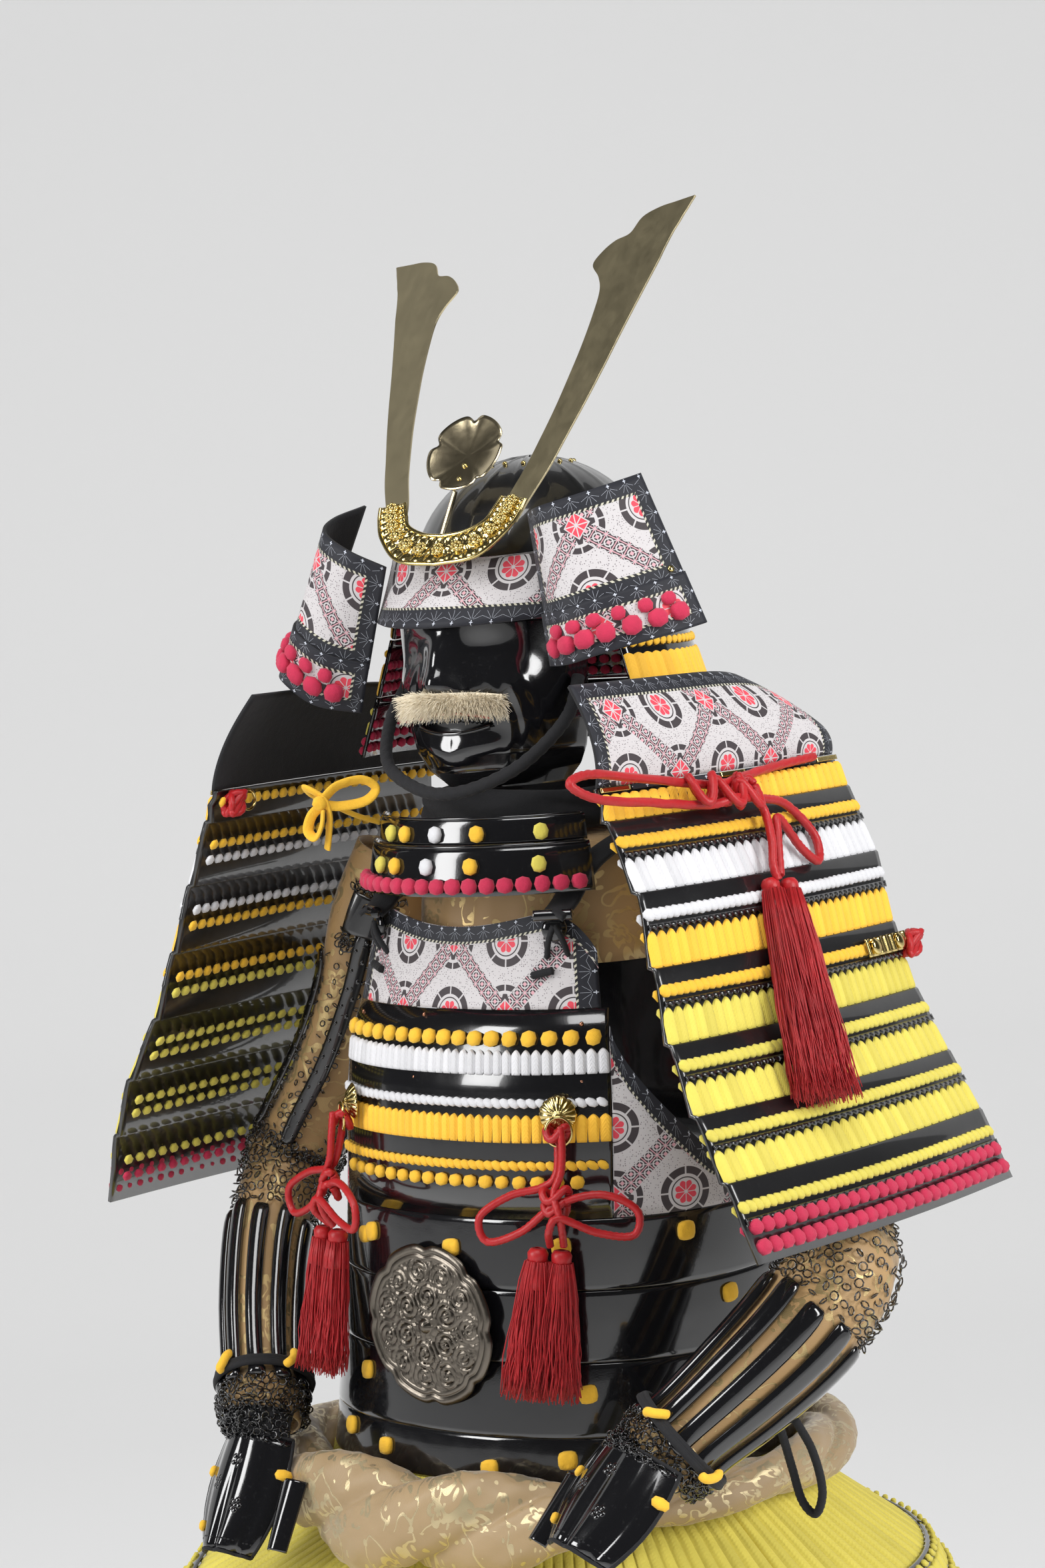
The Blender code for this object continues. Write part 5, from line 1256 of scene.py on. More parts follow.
for side, name in SIDES:
    c = torso(side * 37.5, -0.272, 0.0084)
    n = facing_out(side * 37)
    across = np.array([-n[1], n[0], 0])
    turn, s = np.linspace(0, 2 * np.pi, 97), np.linspace(0, 1, 15)[:, None]
    r = 0.0150 * s * (1 - 0.05 * (1 - np.abs(np.cos(8 * turn))) * s)
    high = 0.0064 * (1 - s**2) + 0.0011 * np.abs(np.cos(8 * turn)) * s * (1.1 - s) * 3
    high = high + 0.0022 * np.exp(-((s / 0.2) ** 4))
    x, y, high = r * np.cos(turn), r * np.sin(turn), high + 0.0004
    xyz = c + x[..., None] * across + y[..., None] * UPWARD + high[..., None] * n
    plate(f"rosette_face_{name}", xyz, gilt, "gilt", [f"rosette_{name}"], wall=0.0012, weld=True, look=n)
    a = np.linspace(0, 2 * np.pi, 41)
    ring = np.cos(a)[:, None] * across * 0.9 + np.sin(a)[:, None] * UPWARD
    ring = c + n * 0.0120 + np.array([0, 0, -0.012]) + 0.0115 * ring
    tube(f"cord_ring_{name}", ring, 0.0014, gilt, "gilt", sides=10, caps=False)
    n = facing_out(side * 32)
    across = np.array([-n[1], n[0], 0])
    q = torso(side * 37.5, -0.272, 0.0139)
    bow = np.array(BOW)
    drop = np.clip(-bow[:, 1:2] / 0.04 - 0.25, 0, 1)
    away = bow[:, 2:] + (0.45 * np.clip(-bow[:, :1], 0, 1) + 0.007 * drop if side < 0 else 0.004 * drop)
    line = smooth_path(q + bow[:, :1] * across - bow[:, 1:2] * HANG + away * n, 200)
    red = twisted(f"red_cord_{name}", line, 0.0034, [f"chest_cord_{name}"])
    tuple(line[0])
    length_of(line)
    [tuple(p) for p in line[::2]]
    forward = SECOND[:, 2:] + (0.006 if side < 0 else 0.003)
    line = smooth_path(q + SECOND[:, :1] * across - SECOND[:, 1:2] * HANG + forward * n, 90)
    twisted(f"red_cord_{name}_second", line, 0.0033)
    for k, (down, wide) in enumerate(((0.014, 0.0085), (0.062, 0.0105), (0.072, 0.0090))):
        t = np.linspace(0, 2 * np.pi * 1.02, 60)
        wrap = q + down * HANG + (0.0055 + 0.005 * (k > 0) + (0.0055 if side < 0 else 0.002) * (k > 0)) * n
        rise = 0.0050 * np.sin(2 * t + 0.6) + 0.002 * np.sin(t)
        x, out = wide * np.cos(t), 0.0062 * np.sin(t)
        loop = wrap + x[:, None] * across + rise[:, None] * UPWARD + out[:, None] * n
        twisted(f"red_cord_{name}_knot_{k + 1}", loop, 0.0034)
    top = q + 0.105 * HANG + n * (0.0085 if side > 0 else 0.0137) - across * 0.005
    look = n if side > 0 else np.array([-0.15, -1, 0])
    end = top + 0.122 * HANG - across * 0.008 * (side > 0) + n * 0.008 * (side < 0)
    spread = 0.046 if side > 0 else 0.038
    tassel(f"tassel_{name}", top, end, look, spread, 0.017, 0.019, 0.010, (-0.5, 0.5), 480,
           [f"chest_tassel_{name}"], 5 + side)


# Shoulder guards: seven lames of black plate, each hung from the one above by rows of flat silk that change
# from orange through white to lemon, with a braid along each plate and two rows of crimson knots on the last.
SODE = [(0.203, -0.197, -0.008, 0.216, 0.098), (0.209, -0.199, -0.034, 0.225, 0.098),
        (0.235, -0.199, -0.088, 0.246, 0.103), (0.252, -0.207, -0.144, 0.266, 0.092),
        (0.270, -0.216, -0.200, 0.275, 0.106), (0.297, -0.225, -0.251, 0.299, 0.112),
        (0.320, -0.223, -0.300, 0.317, 0.126), (0.342, -0.216, -0.362, 0.330, 0.150)]
LAMES = [(None, "orange"), ("orange", "white"), ("white", "orange"), ("orange", "lemon"), ("lemon", "lemon"),
         ("lemon", "lemon"), ("lemon", None)]
lame_row = lambda s, column: np.interp(s, np.arange(8), np.array(SODE)[:, column])


def guard_of(side):
    """The surface of one side's shoulder guard."""

    def guard(u, s, out=0.0):
        """Its outer face: u from its front edge to its back, s counts the lames downwards."""
        u, s = np.broadcast_arrays(np.asarray(u, float), np.asarray(s, float))
        x = lame_row(s, 0) * (1 - u) + lame_row(s, 3) * u + 0.010 * np.sin(np.pi * u) + out
        y = lame_row(s, 1) * (1 - u) + lame_row(s, 4) * u
        return stack(x * side, y, lame_row(s, 2) + 0.2 * out)

    return guard


for side, name in SIDES:
    guard = guard_of(side)
    u = np.linspace(0, 1, 61)[None]
    rows = []
    for k in range(7):
        tops = (0.0030, 0.0042, 0.0042) if k else (-0.001, -0.001, -0.001)
        rows += [(k + down, lift) for down, lift in zip((0.001, 0.03, 0.22), tops)]
        rows += [(k + 0.48, 0.0030), (k + 0.965, -0.0006 if k < 6 else 0.0030)]
    rows = np.array(rows)
    look = (side, 0, 0.1)
    nodes = [f"shoulder_guard_{name}"]
    plate(f"sode_plates_{name}", guard(u, rows[:, :1], rows[:, 1:]), satin, "lacquer", nodes, wall=0.0030,
          look=look)
    for k, (braid, tall) in enumerate(LAMES):
        if braid:
            row(f"sode_braid_{name}_{k}", guard, k + 0.30, 44, LACES[braid][1], (0.0062, 0.0050, 0.0034),
                0.0058, tilt=-0.55 * side, flat=0.0, ends=(0.005, 0.995))
            teeth = np.abs(np.linspace(0, 88, 177) % 2 - 1)
            zig = guard(np.linspace(0.005, 0.995, 177)[None],
                        np.stack([k + 0.425 + 0 * teeth, k + 0.47 + 0.045 * teeth]),
                        0.0066 - 0.001 * (side < 0))
            plate(f"sode_zigzag_{name}_{k}", zig, satin, "lacquer", wall=0.0012, look=look)
        if tall:
            start = k + (0.50 if k else 0.20)
            laces(f"sode_lacing_{name}_{k}", guard, (start, k + 1.005), 30, LACES[tall][0], thick=0.0042,
                  peak=0.20 * (0.5 / (1.005 - start + k)), lift=0.0022, look=look)
        else:
            for j, s in enumerate((0.54, 0.78)):
                row(f"sode_knots_{name}_{j}", guard, k + s, 27, crimson_felt, (0.0074, 0.0066, 0.0052),
                    0.0060, tilt=0.3 * side, fold=0.4, ends=(0.01, 0.99), seed=j + 3)
    # Inner side: the plates show bare, each with two rows of knots where its lacing comes through
    hidden = lambda u, s, out=0.0: guard(u, s, -0.0045 - np.asarray(out))
    for k, tones in enumerate((("orange",), ("orange", "white"), ("white", "orange"), ("orange", "lemon"),
                               ("lemon", "lemon"), ("lemon", "lemon"), ("lemon", "crimson"))):
        for j, tone in enumerate(tones):
            felt = crimson_felt if tone == "crimson" else LACES[tone][1]
            spot, along, up, out = frame_on(hidden, np.linspace(0.03, 0.97, 24),
                                            np.full(24, k + 0.34 + 0.24 * j), 0.001)
            beads(f"sode_inner_{name}_{k}_{j}", spot, along, up, (-side, 0, 0), (0.0052, 0.0048, 0.0034),
                  felt, "lacing", fold=0.3, flat=0.3, rings=5, sides=6)
    # Gilt fittings along the head, between pieces of black cloth with small crosses
    for k in range(9):
        u0 = k / 9 + 0.004
        part = np.linspace(u0, u0 + 1 / 9 - 0.008, 15)[None]
        strip = guard(part, np.linspace(0.015, 0.155, 7)[:, None], 0.0036)
        if k % 2:
            mat = printed(f"head_print_{name}_{k}", 9.0, 9.0, edge=0.012, sides=(0, 0, 1, 0))
            plate(f"sode_head_{name}_{k}", strip, mat, "print", look=look, wall=0.001)
        else:
            plate(f"sode_head_{name}_{k}", strip, gilt, "gilt", look=look, wall=0.001)

# Crown plates: iron faced with printed leather, edged and lined in black, one over each shoulder. They are
# laced to the head of the shoulder guard.
for side, name in SIDES:
    v, u = np.linspace(0, 1, 21)[:, None], np.linspace(0, 1, 49)
    y = -0.197 + 0.018 * v + (0.295 - 0.058 * v**3) * u
    x = 0.204 + 0.010 * u - 0.036 * v**1.4 + 0.008 * np.sin(np.pi * u) + 0.004 * np.sin(np.pi * v)
    zt = -0.0075 + 0.077 * v - 0.030 * v * u**9
    xyz = stack(x * side, y, zt)
    uv = np.stack([u * 0.295 + 0 * v - 0.1475, v * 0.086 - 0.086 + 0 * u], -1)
    mat = printed(f"crown_print_{name}", 0.295, 0.086, edge=0.013, sides=(1, 1, 1, 0))
    plate(f"crown_leather_{name}", xyz, mat, "print", [f"crown_plate_{name}"], wall=0.0028, uv=uv,
          look=(side, 0, 0.5), lining=black_cloth)

# Cord of the near shoulder guard: red silk laid up from three strands, tied across its head in a flat bow,
# with a tassel on its end.
SODE_CORD = [(0.062, -0.006, 0.0040), (0.020, -0.008, 0.0040), (-0.030, -0.011, 0.007),
             (-0.082, -0.015, 0.012), (-0.112, -0.012, 0.010), (-0.174, -0.002, 0.008),
             (-0.230, 0.006, 0.010), (-0.257, 0.001, 0.010), (-0.233, -0.012, 0.010), (-0.172, -0.021, 0.010),
             (-0.105, -0.029, 0.014), (-0.080, -0.026, 0.021), (-0.045, -0.030, 0.019),
             (-0.012, -0.038, 0.015), (0.012, -0.064, 0.012), (0.004, -0.084, 0.012), (-0.014, -0.072, 0.014),
             (-0.036, -0.046, 0.021), (-0.044, -0.060, 0.019), (-0.0575, -0.0913, 0.016)]


def beside_sode(y, z, out):
    """A point beside the near guard's outer face, by its y and height."""
    rows = np.array(SODE)
    x = np.interp(-z, -rows[:, 2], (rows[:, 0] + rows[:, 3]) / 2) - 0.45 * np.clip(z + 0.008, 0, 1)
    return stack(x + 0.010 + out, y, z)


c = np.array(SODE_CORD)
line = smooth_path(beside_sode(c[:, 0], c[:, 1], c[:, 2] + 0.002), 260)
red = twisted("sode_red_cord", line, 0.0038, ["sode_cord"])
tuple(line[0])
length_of(line)
[tuple(p) for p in line[::2]]
second = np.array([(-0.060, -0.022, 0.022), (-0.050, -0.040, 0.020), (-0.056, -0.062, 0.020),
                   (-0.064, -0.080, 0.018), (-0.0640, -0.0925, 0.017)])
line = smooth_path(beside_sode(second[:, 0], second[:, 1], second[:, 2] + 0.003), 60)
twisted("sode_red_cord_second", line, 0.0037)
for k, (y, z, wide) in enumerate(((-0.112, -0.016, 0.012), (-0.080, -0.020, 0.014), (-0.060, -0.024, 0.011))):
    t = np.linspace(0, 2 * np.pi * 1.02, 60)
    loop = beside_sode(y + wide * np.cos(t), z + 0.010 * np.sin(2 * t + 0.5 + k), 0.020 + 0.007 * np.sin(t))
    twisted(f"sode_red_cord_knot_{k + 1}", loop, 0.0037)
tassel("sode_red_tassel", beside_sode(-0.058, -0.092, 0.016), beside_sode(-0.104, -0.258, 0.024),
       (1, -0.35, 0.45), 0.043, 0.016, 0.017, 0.010, (-0.5, 0.5), 560, ["sode_tassel"], 11)

# Red knots: one of silk cord on a gilt ring at the front edge of the far shoulder guard, and one behind a
# small gilt strip with two florets that is riveted to the near guard.
near_guard, far_guard = guard_of(1), guard_of(-1)
strip = near_guard(np.linspace(0.80, 1.0, 41)[None], np.linspace(3.16, 3.42, 9)[:, None],
                   0.0105 + 0.001 * np.sin(np.linspace(0, 40, 41))[None])
plate("guard_strip", strip, gilt, "gilt", look=(1, 0, 0.1), wall=0.0012)
for k, u in enumerate((0.84, 0.96)):
    beads_on(f"guard_strip_floret_{k + 1}", near_guard, u, 3.29, 0.0125, (0.0068, 0.0068, 0.0022), gilt,
             "gilt", sides=16)
for side, u, s, lift in ((1, 1.02, 3.36, 0.010), (-1, 0.06, 0.36, -0.011)):
    c = (near_guard if side > 0 else far_guard)(u, s, lift)
    t = np.linspace(0, 2 * np.pi, 90)
    for k, (f, g, h) in enumerate(((2, 3, 0.3), (3, 2, 1.2))):
        loop = c + stack(0.0050 * np.sin(g * t + h), 0.0085 * np.cos(f * t), 0.0085 * np.sin(f * t + h))
        twisted(f"guard_knot_{'near' if side > 0 else 'far'}_{k + 1}", loop, 0.0030)
a = np.linspace(0, 2 * np.pi, 41)
c = far_guard(0.12, 0.30, -0.012)
tube("guard_ring_far", c + stack(0 * a, 0.0085 * np.cos(a), 0.0085 * np.sin(a)), 0.0012, gilt, "gilt",
     sides=8, caps=False)


# Sleeves: a tube of brocade from shoulder to wrist, which carries black strips on the upper arm and mail at
# the elbow and the wrist. The cloth falls in long folds above the elbow and crumples in it.
ARMS = {
    "left": [(0.162, 0.0, -0.082, 0.040, 0.056), (0.190, -0.010, -0.140, 0.040, 0.056),
             (0.216, -0.015, -0.210, 0.036, 0.052), (0.244, -0.025, -0.285, 0.035, 0.050),
             (0.278, -0.040, -0.348, 0.035, 0.047), (0.308, -0.058, -0.392, 0.041, 0.046),
             (0.294, -0.094, -0.432, 0.041, 0.044), (0.262, -0.130, -0.474, 0.037, 0.040),
             (0.228, -0.162, -0.510, 0.033, 0.034), (0.217, -0.173, -0.522, 0.039, 0.038),
             (0.207, -0.185, -0.535, 0.034, 0.034)],
    "right": [(0.162, 0.0, -0.082, 0.040, 0.056), (0.190, -0.010, -0.140, 0.040, 0.056),
              (0.214, -0.015, -0.205, 0.034, 0.052), (0.240, -0.025, -0.265, 0.034, 0.050),
              (0.268, -0.040, -0.315, 0.035, 0.044), (0.282, -0.056, -0.352, 0.036, 0.041),
              (0.274, -0.094, -0.405, 0.031, 0.036), (0.252, -0.130, -0.458, 0.029, 0.034),
              (0.227, -0.161, -0.510, 0.028, 0.031), (0.218, -0.173, -0.527, 0.034, 0.035),
              (0.211, -0.184, -0.545, 0.032, 0.033)],
}
TOWARD = np.array([0.6413, -0.7642, 0.0685])


def arm(name, side, steps=161):
    """The arm as a surface: u once round it, s from shoulder to wrist."""
    line = smooth_path(ARMS[name], steps)
    mid, wide = line[:, :3] * [side, 1, 1], line[:, 3:]
    run = unit(np.gradient(mid, axis=0))
    a = unit(np.array([1.0, 0, 0]) - run * run[:, :1])
    b = np.cross(run, a)

    def at(u, s, out=0.0):
        """An oval round the arm's middle line."""
        u, s = np.broadcast_arrays(np.asarray(u, float), np.asarray(s, float))
        k = np.clip(s, 0, 1) * (steps - 1)
        pick = lambda rows: np.stack([np.interp(k, np.arange(steps), rows[:, c])
                                      for c in range(rows.shape[1])], -1)
        w, turn = pick(wide), 2 * np.pi * u
        x, y = (w[..., 0] + out) * np.cos(turn), (w[..., 1] + out) * np.sin(turn)
        return pick(mid) + x[..., None] * unit(pick(a)) + y[..., None] * unit(pick(b))

    facing = lambda s: float(np.arctan2(b[int(s * (steps - 1))] @ TOWARD, a[int(s * (steps - 1))] @ TOWARD)
                             / (2 * np.pi))
    return at, facing


def mail(name, at, us, ss, ring=0.0034, wire=0.0008, out=0.0030, seed=1):
    """Patches of small black rings, in rows that are set off by half a step. Each ring is turned at random
    out of the surface, as linked rings lie."""
    rng = np.random.default_rng(seed)
    grid_u = us[None] + (np.arange(len(ss)) % 2)[:, None] * (us[1] - us[0]) / 2
    spot, along, up, n = frame_on(at, grid_u.ravel(), np.repeat(ss, len(us)), out)
    spot = spot + 0.0008 * rng.standard_normal(spot.shape)
    n = unit(n + 0.75 * rng.standard_normal(n.shape))
    a = unit(along - n * (along * n).sum(-1, keepdims=True))
    b = np.cross(n, a)
    steps, around = 8, 3
    p, q = np.arange(steps)[:, None] * 2 * np.pi / steps, np.arange(around)[None] * 2 * np.pi / around
    far = ring + wire * np.cos(q)
    x, y, z = (w[None, ..., None] for w in (far * np.cos(p), far * np.sin(p), wire * np.sin(q) + 0 * p))
    xyz = spot[:, None, None] + x * a[:, None, None] + y * b[:, None, None] + z * n[:, None, None]
    i, j = np.repeat(np.arange(steps), around), np.tile(np.arange(around), steps)
    i, next_i, next_j = i * around, (i + 1) % steps * around, (j + 1) % around
    faces = copies(np.stack([i + j, next_i + j, next_i + next_j, i + next_j], -1), steps * around, len(spot))
    hub, n = np.repeat(spot, steps * around, 0), np.repeat(n, steps * around, 0)
    middle = xyz.reshape(-1, 3)[faces].mean(1)
    away = middle - hub
    core = hub + unit(away - n * (away * n).sum(-1, keepdims=True)) * ring
    if (crossed(xyz, faces) * (middle - core)).sum() < 0:
        faces = faces[:, ::-1]
    look = crossed(xyz, faces).sum(0) + 1e-9
    place_mesh(name, xyz, faces, gloss, "lacquer", uv=np.zeros(xyz.shape[:-1] + (2,)), look=look)


for side, name in SIDES:
    at, facing = arm(name, side)
    u, s = np.linspace(0, 1, 61)[None], np.linspace(0, 1, 85)[:, None]
    long_folds = 0.0030 * np.sin(2 * np.pi * 4 * u + 9 * s + side) * np.clip(1 - s / 0.5, 0, 1) ** 0.5
    crumple = 0.0022 * np.sin(85 * s + 2.5 * np.sin(4 * np.pi * u + 1)) * np.exp(-(((s - 0.47) / 0.07) ** 2))
    shape = at(u, s, long_folds + crumple - 0.001)
    uv = np.stack([u * 0.28 + 0 * s, s * -0.62 + 0 * u], -1)
    sleeve = plate(f"sleeve_cloth_{name}", shape, silk_brocade, "brocade", [f"sleeve_{name}"], wall=0.0018,
                   weld=True, uv=uv)
    cloth_cut(shape)
    mail(f"elbow_mail_{name}", at, np.arange(32) / 32, np.linspace(0.44, 0.575, 11), seed=3 + side)
    mail(f"wrist_mail_{name}", at, np.arange(34) / 34, np.linspace(0.885, 0.985, 7), out=0.0035,
         seed=8 + side)
    home = facing(0.3)
    for k, (du, s0) in enumerate(((0.02, 0.10), (0.17, 0.14), (-0.16, 0.14), (0.40, 0.14), (-0.36, 0.14))):
        s1 = 0.44
        w, t = np.linspace(-1, 1, 7)[None], np.sin(np.linspace(-1, 1, 17) * np.pi / 2)[:, None] / 2 + 0.5
        narrow = 0.024 * np.sqrt(np.clip(1 - (2 * t - 1) ** 20, 0, 1)) + 1e-4
        strip = at(home + du + narrow * w, s0 + (s1 - s0) * t, 0.0052 + 0.0014 * np.sqrt(1 - w**4))
        plate(f"arm_strip_{name}_{k + 1}", strip, satin, "lacquer", wall=0.0015)
        stud_u, stud_s = home + du + 0.012 * (np.arange(26) % 2 * 2 - 1), np.linspace(s0 + 0.01,
            s1 - 0.01, 26)
        beads_on(f"arm_studs_{name}_{k + 1}", at, stud_u, stud_s, 0.0066, (0.0022, 0.0028, 0.0016), gloss,
                 "lacquer", rings=5, sides=6)
        if k < 3:
            mail(f"arm_mail_{name}_{k + 1}", at, home + du + np.array([-0.030, 0.030]),
                 np.linspace(s0, s1, 34), ring=0.0024, wire=0.0007, out=0.0038, seed=20 + k)
    cap_u, cap_s = np.linspace(-0.065, 0.065, 21)[None], np.linspace(0.055, 0.105, 13)[:, None]
    high = 0.006 + 0.002 * np.sqrt(np.clip(1 - (cap_u / 0.066) ** 4, 0, 1))
    plate(f"arm_cap_{name}", at(home + 0.02 + cap_u, cap_s, high), satin, "lacquer", wall=0.0016)
    mail(f"cap_mail_{name}", at, home + np.linspace(-0.055, 0.095, 12),
         np.array([0.045, 0.052, 0.108, 0.116, 0.124]), seed=31 + side)

    # Forearm splints: long bars of glossy black lacquer, sewn to the brocade with gaps between
    w, t = np.sin(np.linspace(-1, 1, 9) * np.pi / 2)[None], np.sin(np.linspace(-1, 1, 21) * np.pi
        / 2)[:, None] / 2 + 0.5
    for k in range(10):
        turn = k / 10 + (0.025 if side > 0 else 0.075)
        s0, s1 = 0.578 + 0.006 * (k % 2), 0.885
        ends = np.sqrt(np.clip(1 - (2 * t - 1) ** 24, 0, 1))
        high = 0.0026 + 0.0050 * np.sqrt(1 - np.abs(w) ** 2.6) * ends
        bar = at(turn + 0.0310 * w * (0.55 + 0.45 * ends), s0 + (s1 - s0) * t, high)
        plate(f"splint_{name}_{k + 1}", bar, gloss, "lacquer", [f"forearm_splints_{name}"] if k == 0 else (),
              wall=0.0018)

    # Wrist ties: a flat band of three black cords round the splints, caught by loops of orange cord
    turn = np.linspace(0, 1, 73)
    band = 0.828 if side > 0 else 0.815
    for k in range(3):
        tube(f"wrist_tie_{name}_{k + 1}", at(turn, band + 0.010 * (k - 1) + 0.004 * np.sin(2 * np.pi * turn),
                                             0.0105), 0.0031, black_cloth, "black_cloth", sides=9, lobes=3,
             pitch=0.012, caps=False)
    home = facing(band)
    for k, du in enumerate((-0.10, 0.12)):
        w = np.linspace(-1, 1, 30)
        loop = at(home + du + 0.02 * w, band + 0.026 * w, 0.0100 + 0.0070 * np.sqrt(np.clip(1 - w**4, 0, 1)))
        tube(f"wrist_loop_{name}_{k + 1}", loop, 0.0038, orange_felt, "lacing", sides=12)

# Loose black cord: the end of the near wrist tie, of three strands like the rest of it, which hangs in a loop
# and is knotted to it again.
loop = smooth_path([(0.2850, -0.1040, -0.5050), (0.2930, -0.0930, -0.5330), (0.2960, -0.0870, -0.5650),
                    (0.2880, -0.0860, -0.5850), (0.2770, -0.0880, -0.5760), (0.2730, -0.0930, -0.5500),
                    (0.2740, -0.1030, -0.5250), (0.2760, -0.1120, -0.5080)], 120)
black = tube("wrist_cord", loop, 0.0036, black_cloth, "black_cloth", sides=12, lobes=3, pitch=0.012)
tuple(loop[0])
length_of(loop)
[tuple(p) for p in loop]

# Hand guards: black lacquered plates over the back of the hand, ridged over the knuckles, stamped with small
# plum flowers and bound at the edge, each with a small plate for the thumb.
HANDS = {"left": ((0.2085, -0.1960, -0.5248), (0.186, -0.252, -0.592)),
         "right": ((0.2073, -0.1880, -0.5560), (0.205, -0.238, -0.645))}
for side, name in SIDES:
    a, b = (np.array(p) * [side, 1, 1] for p in HANDS[name])
    run = unit(b - a)
    s = unit(np.cross([0, -0.5, 1], run))
    up = np.cross(run, s)
    reach = np.linalg.norm(b - a)

    def hand_at(u, v, out=0.0):
        """The back of the hand: u across it, v from wrist to knuckles."""
        u, v = np.broadcast_arrays(np.asarray(u, float), np.asarray(v, float))
        w = 2 * u - 1
        half = (0.046 if side > 0 else 0.036) + 0.006 * np.sin(np.pi * v) - 0.010 * v**3
        ridge = np.clip(np.abs(np.sin(w * np.pi * 1.5)) * 1.8 - 0.5, 0, 1) ** 0.7
        arch = 0.022 * (1 - np.abs(w) ** 2.2) + 0.0034 * ridge * (0.3 + 0.7 * v) + out
        return a + (v * reach)[..., None] * run + (half * w)[..., None] * s + arch[..., None] * up

    plate(f"hand_plate_{name}", hand_at(np.linspace(0, 1, 49)[None], np.linspace(0, 1, 15)[:, None]), gloss,
          "lacquer", [f"hand_guard_{name}"], wall=0.0022, look=up)
    legs = ((0, 1, 0, 0, 30), (1, 1, 0, 1, 20), (1, 0, 1, 1, 30), (0, 0, 1, 0, 20))
    edge = np.concatenate([np.stack([np.linspace(u0, u1, n), np.linspace(v0, v1, n)], 1) for u0, u1, v0, v1,
                           n in legs])
    tube(f"hand_binding_{name}", hand_at(edge[:, 0], edge[:, 1], 0.0006), 0.0017, black_cloth, "black_cloth",
         sides=8, lobes=3, pitch=0.006)
    beads_on(f"hand_stitches_{name}", hand_at, np.tile(np.linspace(0.06, 0.94, 20), 2),
             np.repeat([0.07, 0.90], 20), 0.0006, (0.0017, 0.0011, 0.0009), black_cloth, "black_cloth",
             rings=5, sides=6)
    petals = np.arange(6)
    for k, (u, v) in enumerate(((0.30, 0.45), (0.64, 0.62), (0.50, 0.25))):
        far = np.where(petals < 5, 1.0, 0.0)
        u, v = u + 0.045 * far * np.cos(petals * 1.2566), v + 0.046 * far * np.sin(petals * 1.2566)
        beads_on(f"hand_flower_{name}_{k + 1}", hand_at, u, v, 0.0008, (0.0026, 0.0026, 0.0010), gloss,
                 "lacquer", rings=6, sides=12)
    sleeve_at, _ = arm(name, side)
    end = sleeve_at(np.linspace(0, 1, 121), 0.985)
    order = np.roll(end[:-1], -int(np.argmin((end - a) @ s)), axis=0)
    top = max(order[:61], order[::-1][:61], key=lambda half: ((half - a) @ up).mean())
    edge_line = hand_at(np.linspace(0.02, 0.98, 61), 0.05, -0.002)
    if ((top[-1] - top[0]) @ s) * ((edge_line[-1] - edge_line[0]) @ s) < 0:
        edge_line = edge_line[::-1]

    def cuff_at(u, v, out=0.0):
        """From the sleeve's outer end to the hand plate's edge, bowed out a little."""
        u, v = np.broadcast_arrays(np.asarray(u, float), np.asarray(v, float))
        k = np.clip(u, 0, 1) * 60
        pick = lambda rows: np.stack([np.interp(k, np.arange(61), rows[:, c]) for c in range(3)], -1)
        bow = np.asarray(out) + 0.004 * np.sin(np.pi * v)
        return pick(top) * (1 - v)[..., None] + pick(edge_line) * v[..., None] + up * bow[..., None]

    plate(f"cuff_{name}", cuff_at(np.linspace(0, 1, 41)[None], np.linspace(0, 1, 7)[:, None]), black_cloth,
          "black_cloth", wall=0.0015, look=up)
    mail(f"cuff_mail_{name}", cuff_at, np.linspace(0.02, 0.98, 20), np.linspace(0.0, 0.95, 7), ring=0.0032,
         out=0.0022, seed=14 + side)
    root = a + run * 0.034 - side * s * (0.0585 if side > 0 else 0.054) + up * (-0.0060 if side > 0
        else 0.0057)
    w, v = np.linspace(-1, 1, 25)[None, :, None], np.linspace(0, 1, 31)[:, None, None]
    xyz = root + v * 0.060 * run + (0.013 - 0.003 * v) * w * s + 0.008 * (1 - w**2) * up
    plate(f"thumb_plate_{name}", xyz, gloss, "lacquer", [f"thumb_guard_{name}"], wall=0.0020, look=up)
    for k, (u, v) in enumerate(((0.02, 0.34), (0.98, 0.30), (0.05, 0.80))):
        beads_on(f"hand_tie_{name}_{k + 1}", hand_at, u, v, 0.0022, (0.0080, 0.0048, 0.0040), orange_felt,
                 "lacing", fold=0.3, flat=0.5)

# Sash: a long piece of brocade twisted into a roll, wound round the waist over the skirt's head and knotted
# in front, where it is thicker and hangs lower.
def knot(phi):
    """How near the knot a place round the waist is, from 0 to 1."""
    return np.clip(np.cos(np.radians((phi + 12 + 180) % 360 - 180) * 90 / 66), 0, 1) ** 0.8


phi, turn = np.linspace(0, 360, 361), np.linspace(0, 2 * np.pi, 49)
bulk = knot(phi)
ring = torso(phi, -0.581 + 0 * phi, 0.028 + 0.006 * bulk) - np.array([0, 0, 0.024]) * bulk[:, None]
lay = 2 * turn[None] - np.radians(9 * phi[:, None])
grow = 1 + 0.17 * np.cos(lay) - 0.16 * np.exp(-((np.cos(lay) + 1) / 0.08)) + 0.020 * np.sin(5 * lay
    + 2 * np.sin(3 * turn)[None])
grow = grow + 0.014 * np.sin(11 * turn[None] + np.radians(37 * phi[:, None]))
f = np.radians(phi)
wide, tall = 0.0205 + 0.0055 * bulk[:, None], 0.0200 + 0.0225 * bulk[:, None]
xyz = ring[:, None] + (wide * grow * np.cos(turn))[..., None] * stack(np.sin(f), -np.cos(f), 0 * f)[:, None]
xyz = xyz + (tall * grow * np.sin(turn))[..., None] * UPWARD
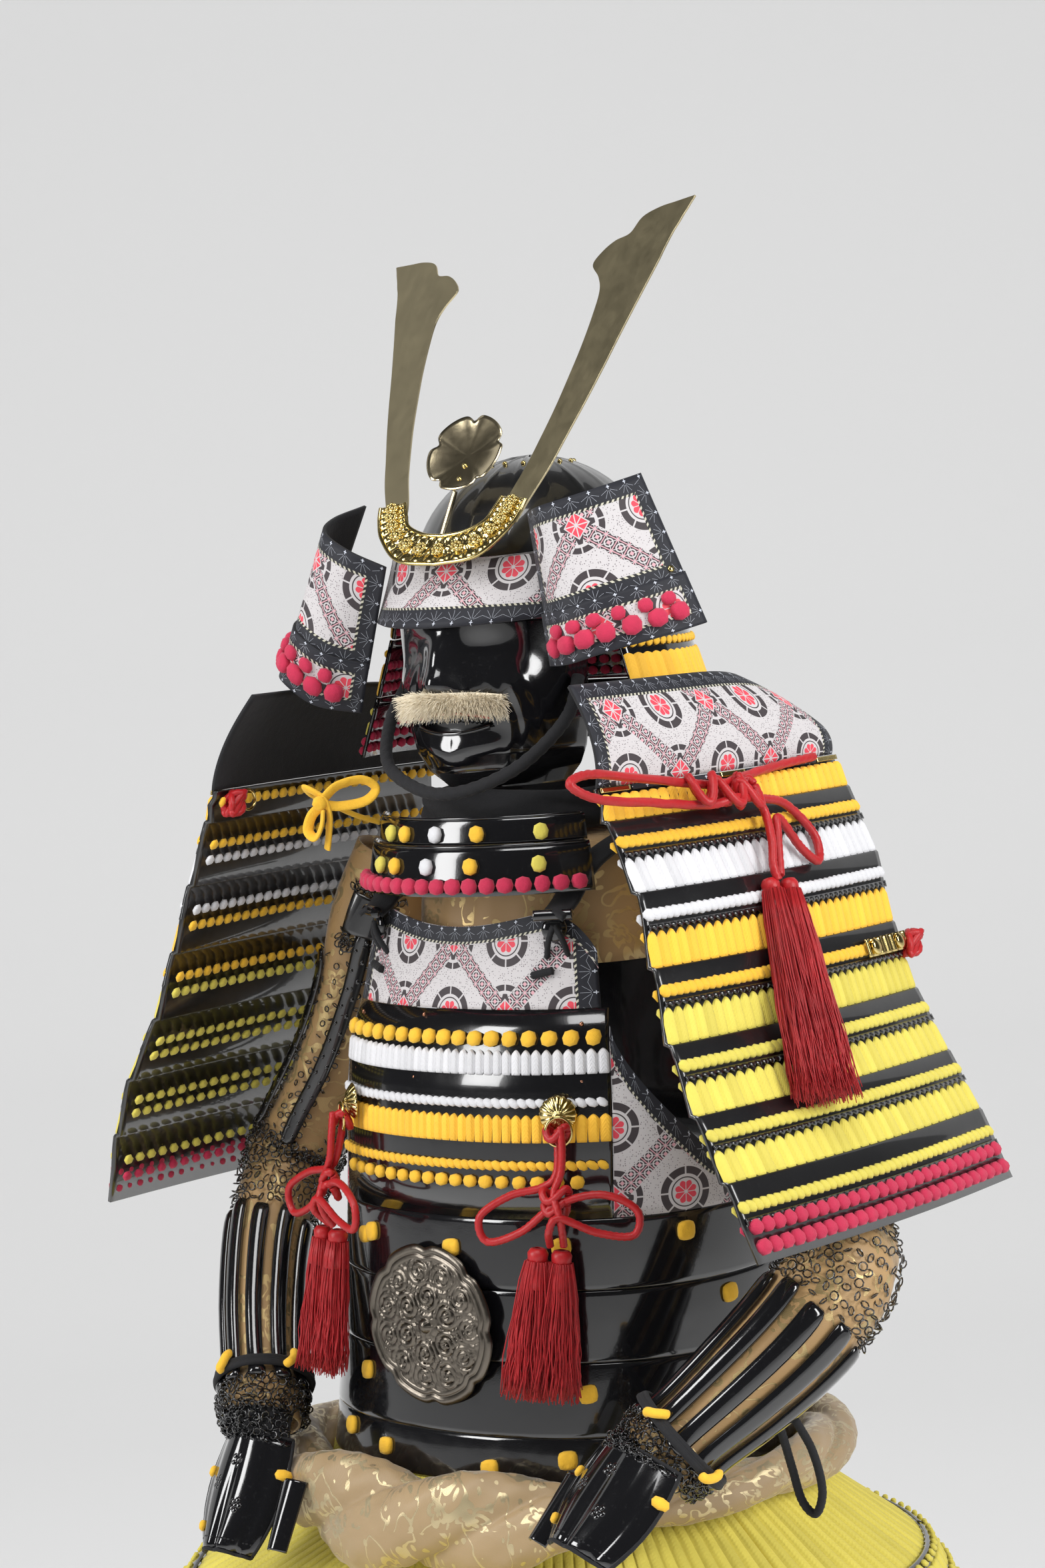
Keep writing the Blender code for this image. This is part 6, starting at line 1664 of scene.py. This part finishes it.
uv = np.stack([np.radians(phi[:, None]) * 0.21 + 0 * turn, turn * 0.025 + 0 * phi[:, None]], -1)
sash_silk = brocade("sash_brocade", (0.36, 0.25, 0.13), (0.78, 0.64, 0.38), 0.042)
index, first = cells(361, 49), xyz[0]
if np.cross(first[1] - first[0], xyz[1, 0] - first[0]) @ (first[0] - first[:-1].mean(0)) >= 0:
    index = index[:, ::-1]
look = crossed(xyz, index).sum(0) + 1e-9
sash = place_mesh("sash_roll", xyz, index, sash_silk, "brocade", ["sash"], uv=uv, look=look, weld=True)

# Skirt: seven panels of three black lacquered lames, hung from the last hoop on long silk cords, lemon and
# white, and flaring over the lap. Each row gives a height and how far out of the body's line the panel is
# there.
SKIRT = np.array([(-0.5760, 0.0), (-0.6020, 0.002), (-0.6160, 0.020), (-0.6500, 0.066), (-0.6750, 0.100),
                  (-0.6770, 0.104), (-0.6970, 0.114), (-0.6990, 0.118), (-0.7190, 0.126), (-0.7210, 0.130),
                  (-0.7400, 0.136)])
for i in range(7):

    def skirt_at(u, s, out=0.0):
        """A panel of the skirt: u across it, s counts down its levels."""
        u, s = np.broadcast_arrays(np.asarray(u, float), np.asarray(s, float))
        phi = i * 360 / 7 + (2 * u - 1) * 25.65
        level, away = np.interp(s, np.arange(11), SKIRT[:, 0]), np.interp(s, np.arange(11), SKIRT[:, 1])
        away = away * (1 + 0.35 * np.clip(np.cos(np.radians(phi + 60)), 0, 1)) + out
        xyz = torso(phi, -0.58 + 0 * away, away)
        xyz[..., 2] = level - 0.052 * knot(phi % 360) * (level < -0.59) + 0.6 * out
        return xyz

    look = facing_out(i * 360 / 7) + [0, 0, 0.5]
    tone = "white" if i == 5 else "lemon"
    laces(f"skirt_cords_{i + 1}", skirt_at, (0.0, 4.30), 21, LACES[tone][0], thick=0.0040, peak=0.0,
          look=look, nodes=[f"skirt_panel_{i + 1}"])
    for k, s in enumerate((4, 6, 8)):
        u = np.linspace(0, 1, 41)[None]
        down, lift = np.array([[0, 0.3, 1.0, 1.96], [0.004, 0.0045, 0.0045, 0.003]])[..., None]
        plate(f"skirt_lame_{i + 1}_{k + 1}", skirt_at(u, s + down, lift), gloss, "lacquer", wall=0.0026,
              look=look)
        row(f"skirt_braid_{i + 1}_{k + 1}", skirt_at, s + 1.05, 18, lemon_felt, (0.0058, 0.0034, 0.0030),
            0.0066, tilt=-0.5, flat=0.0, rings=5, sides=6)
        if k < 2:
            laces(f"skirt_lacing_{i + 1}_{k + 1}", skirt_at, (s + 1.25, s + 2.1), 14, lemon_silk,
                  thick=0.0034, lift=0.0045, peak=0.15, look=look)
        else:
            row(f"skirt_knots_{i + 1}", skirt_at, s + 1.55, 16, crimson_felt, (0.0068, 0.0050, 0.0046),
                0.0075)
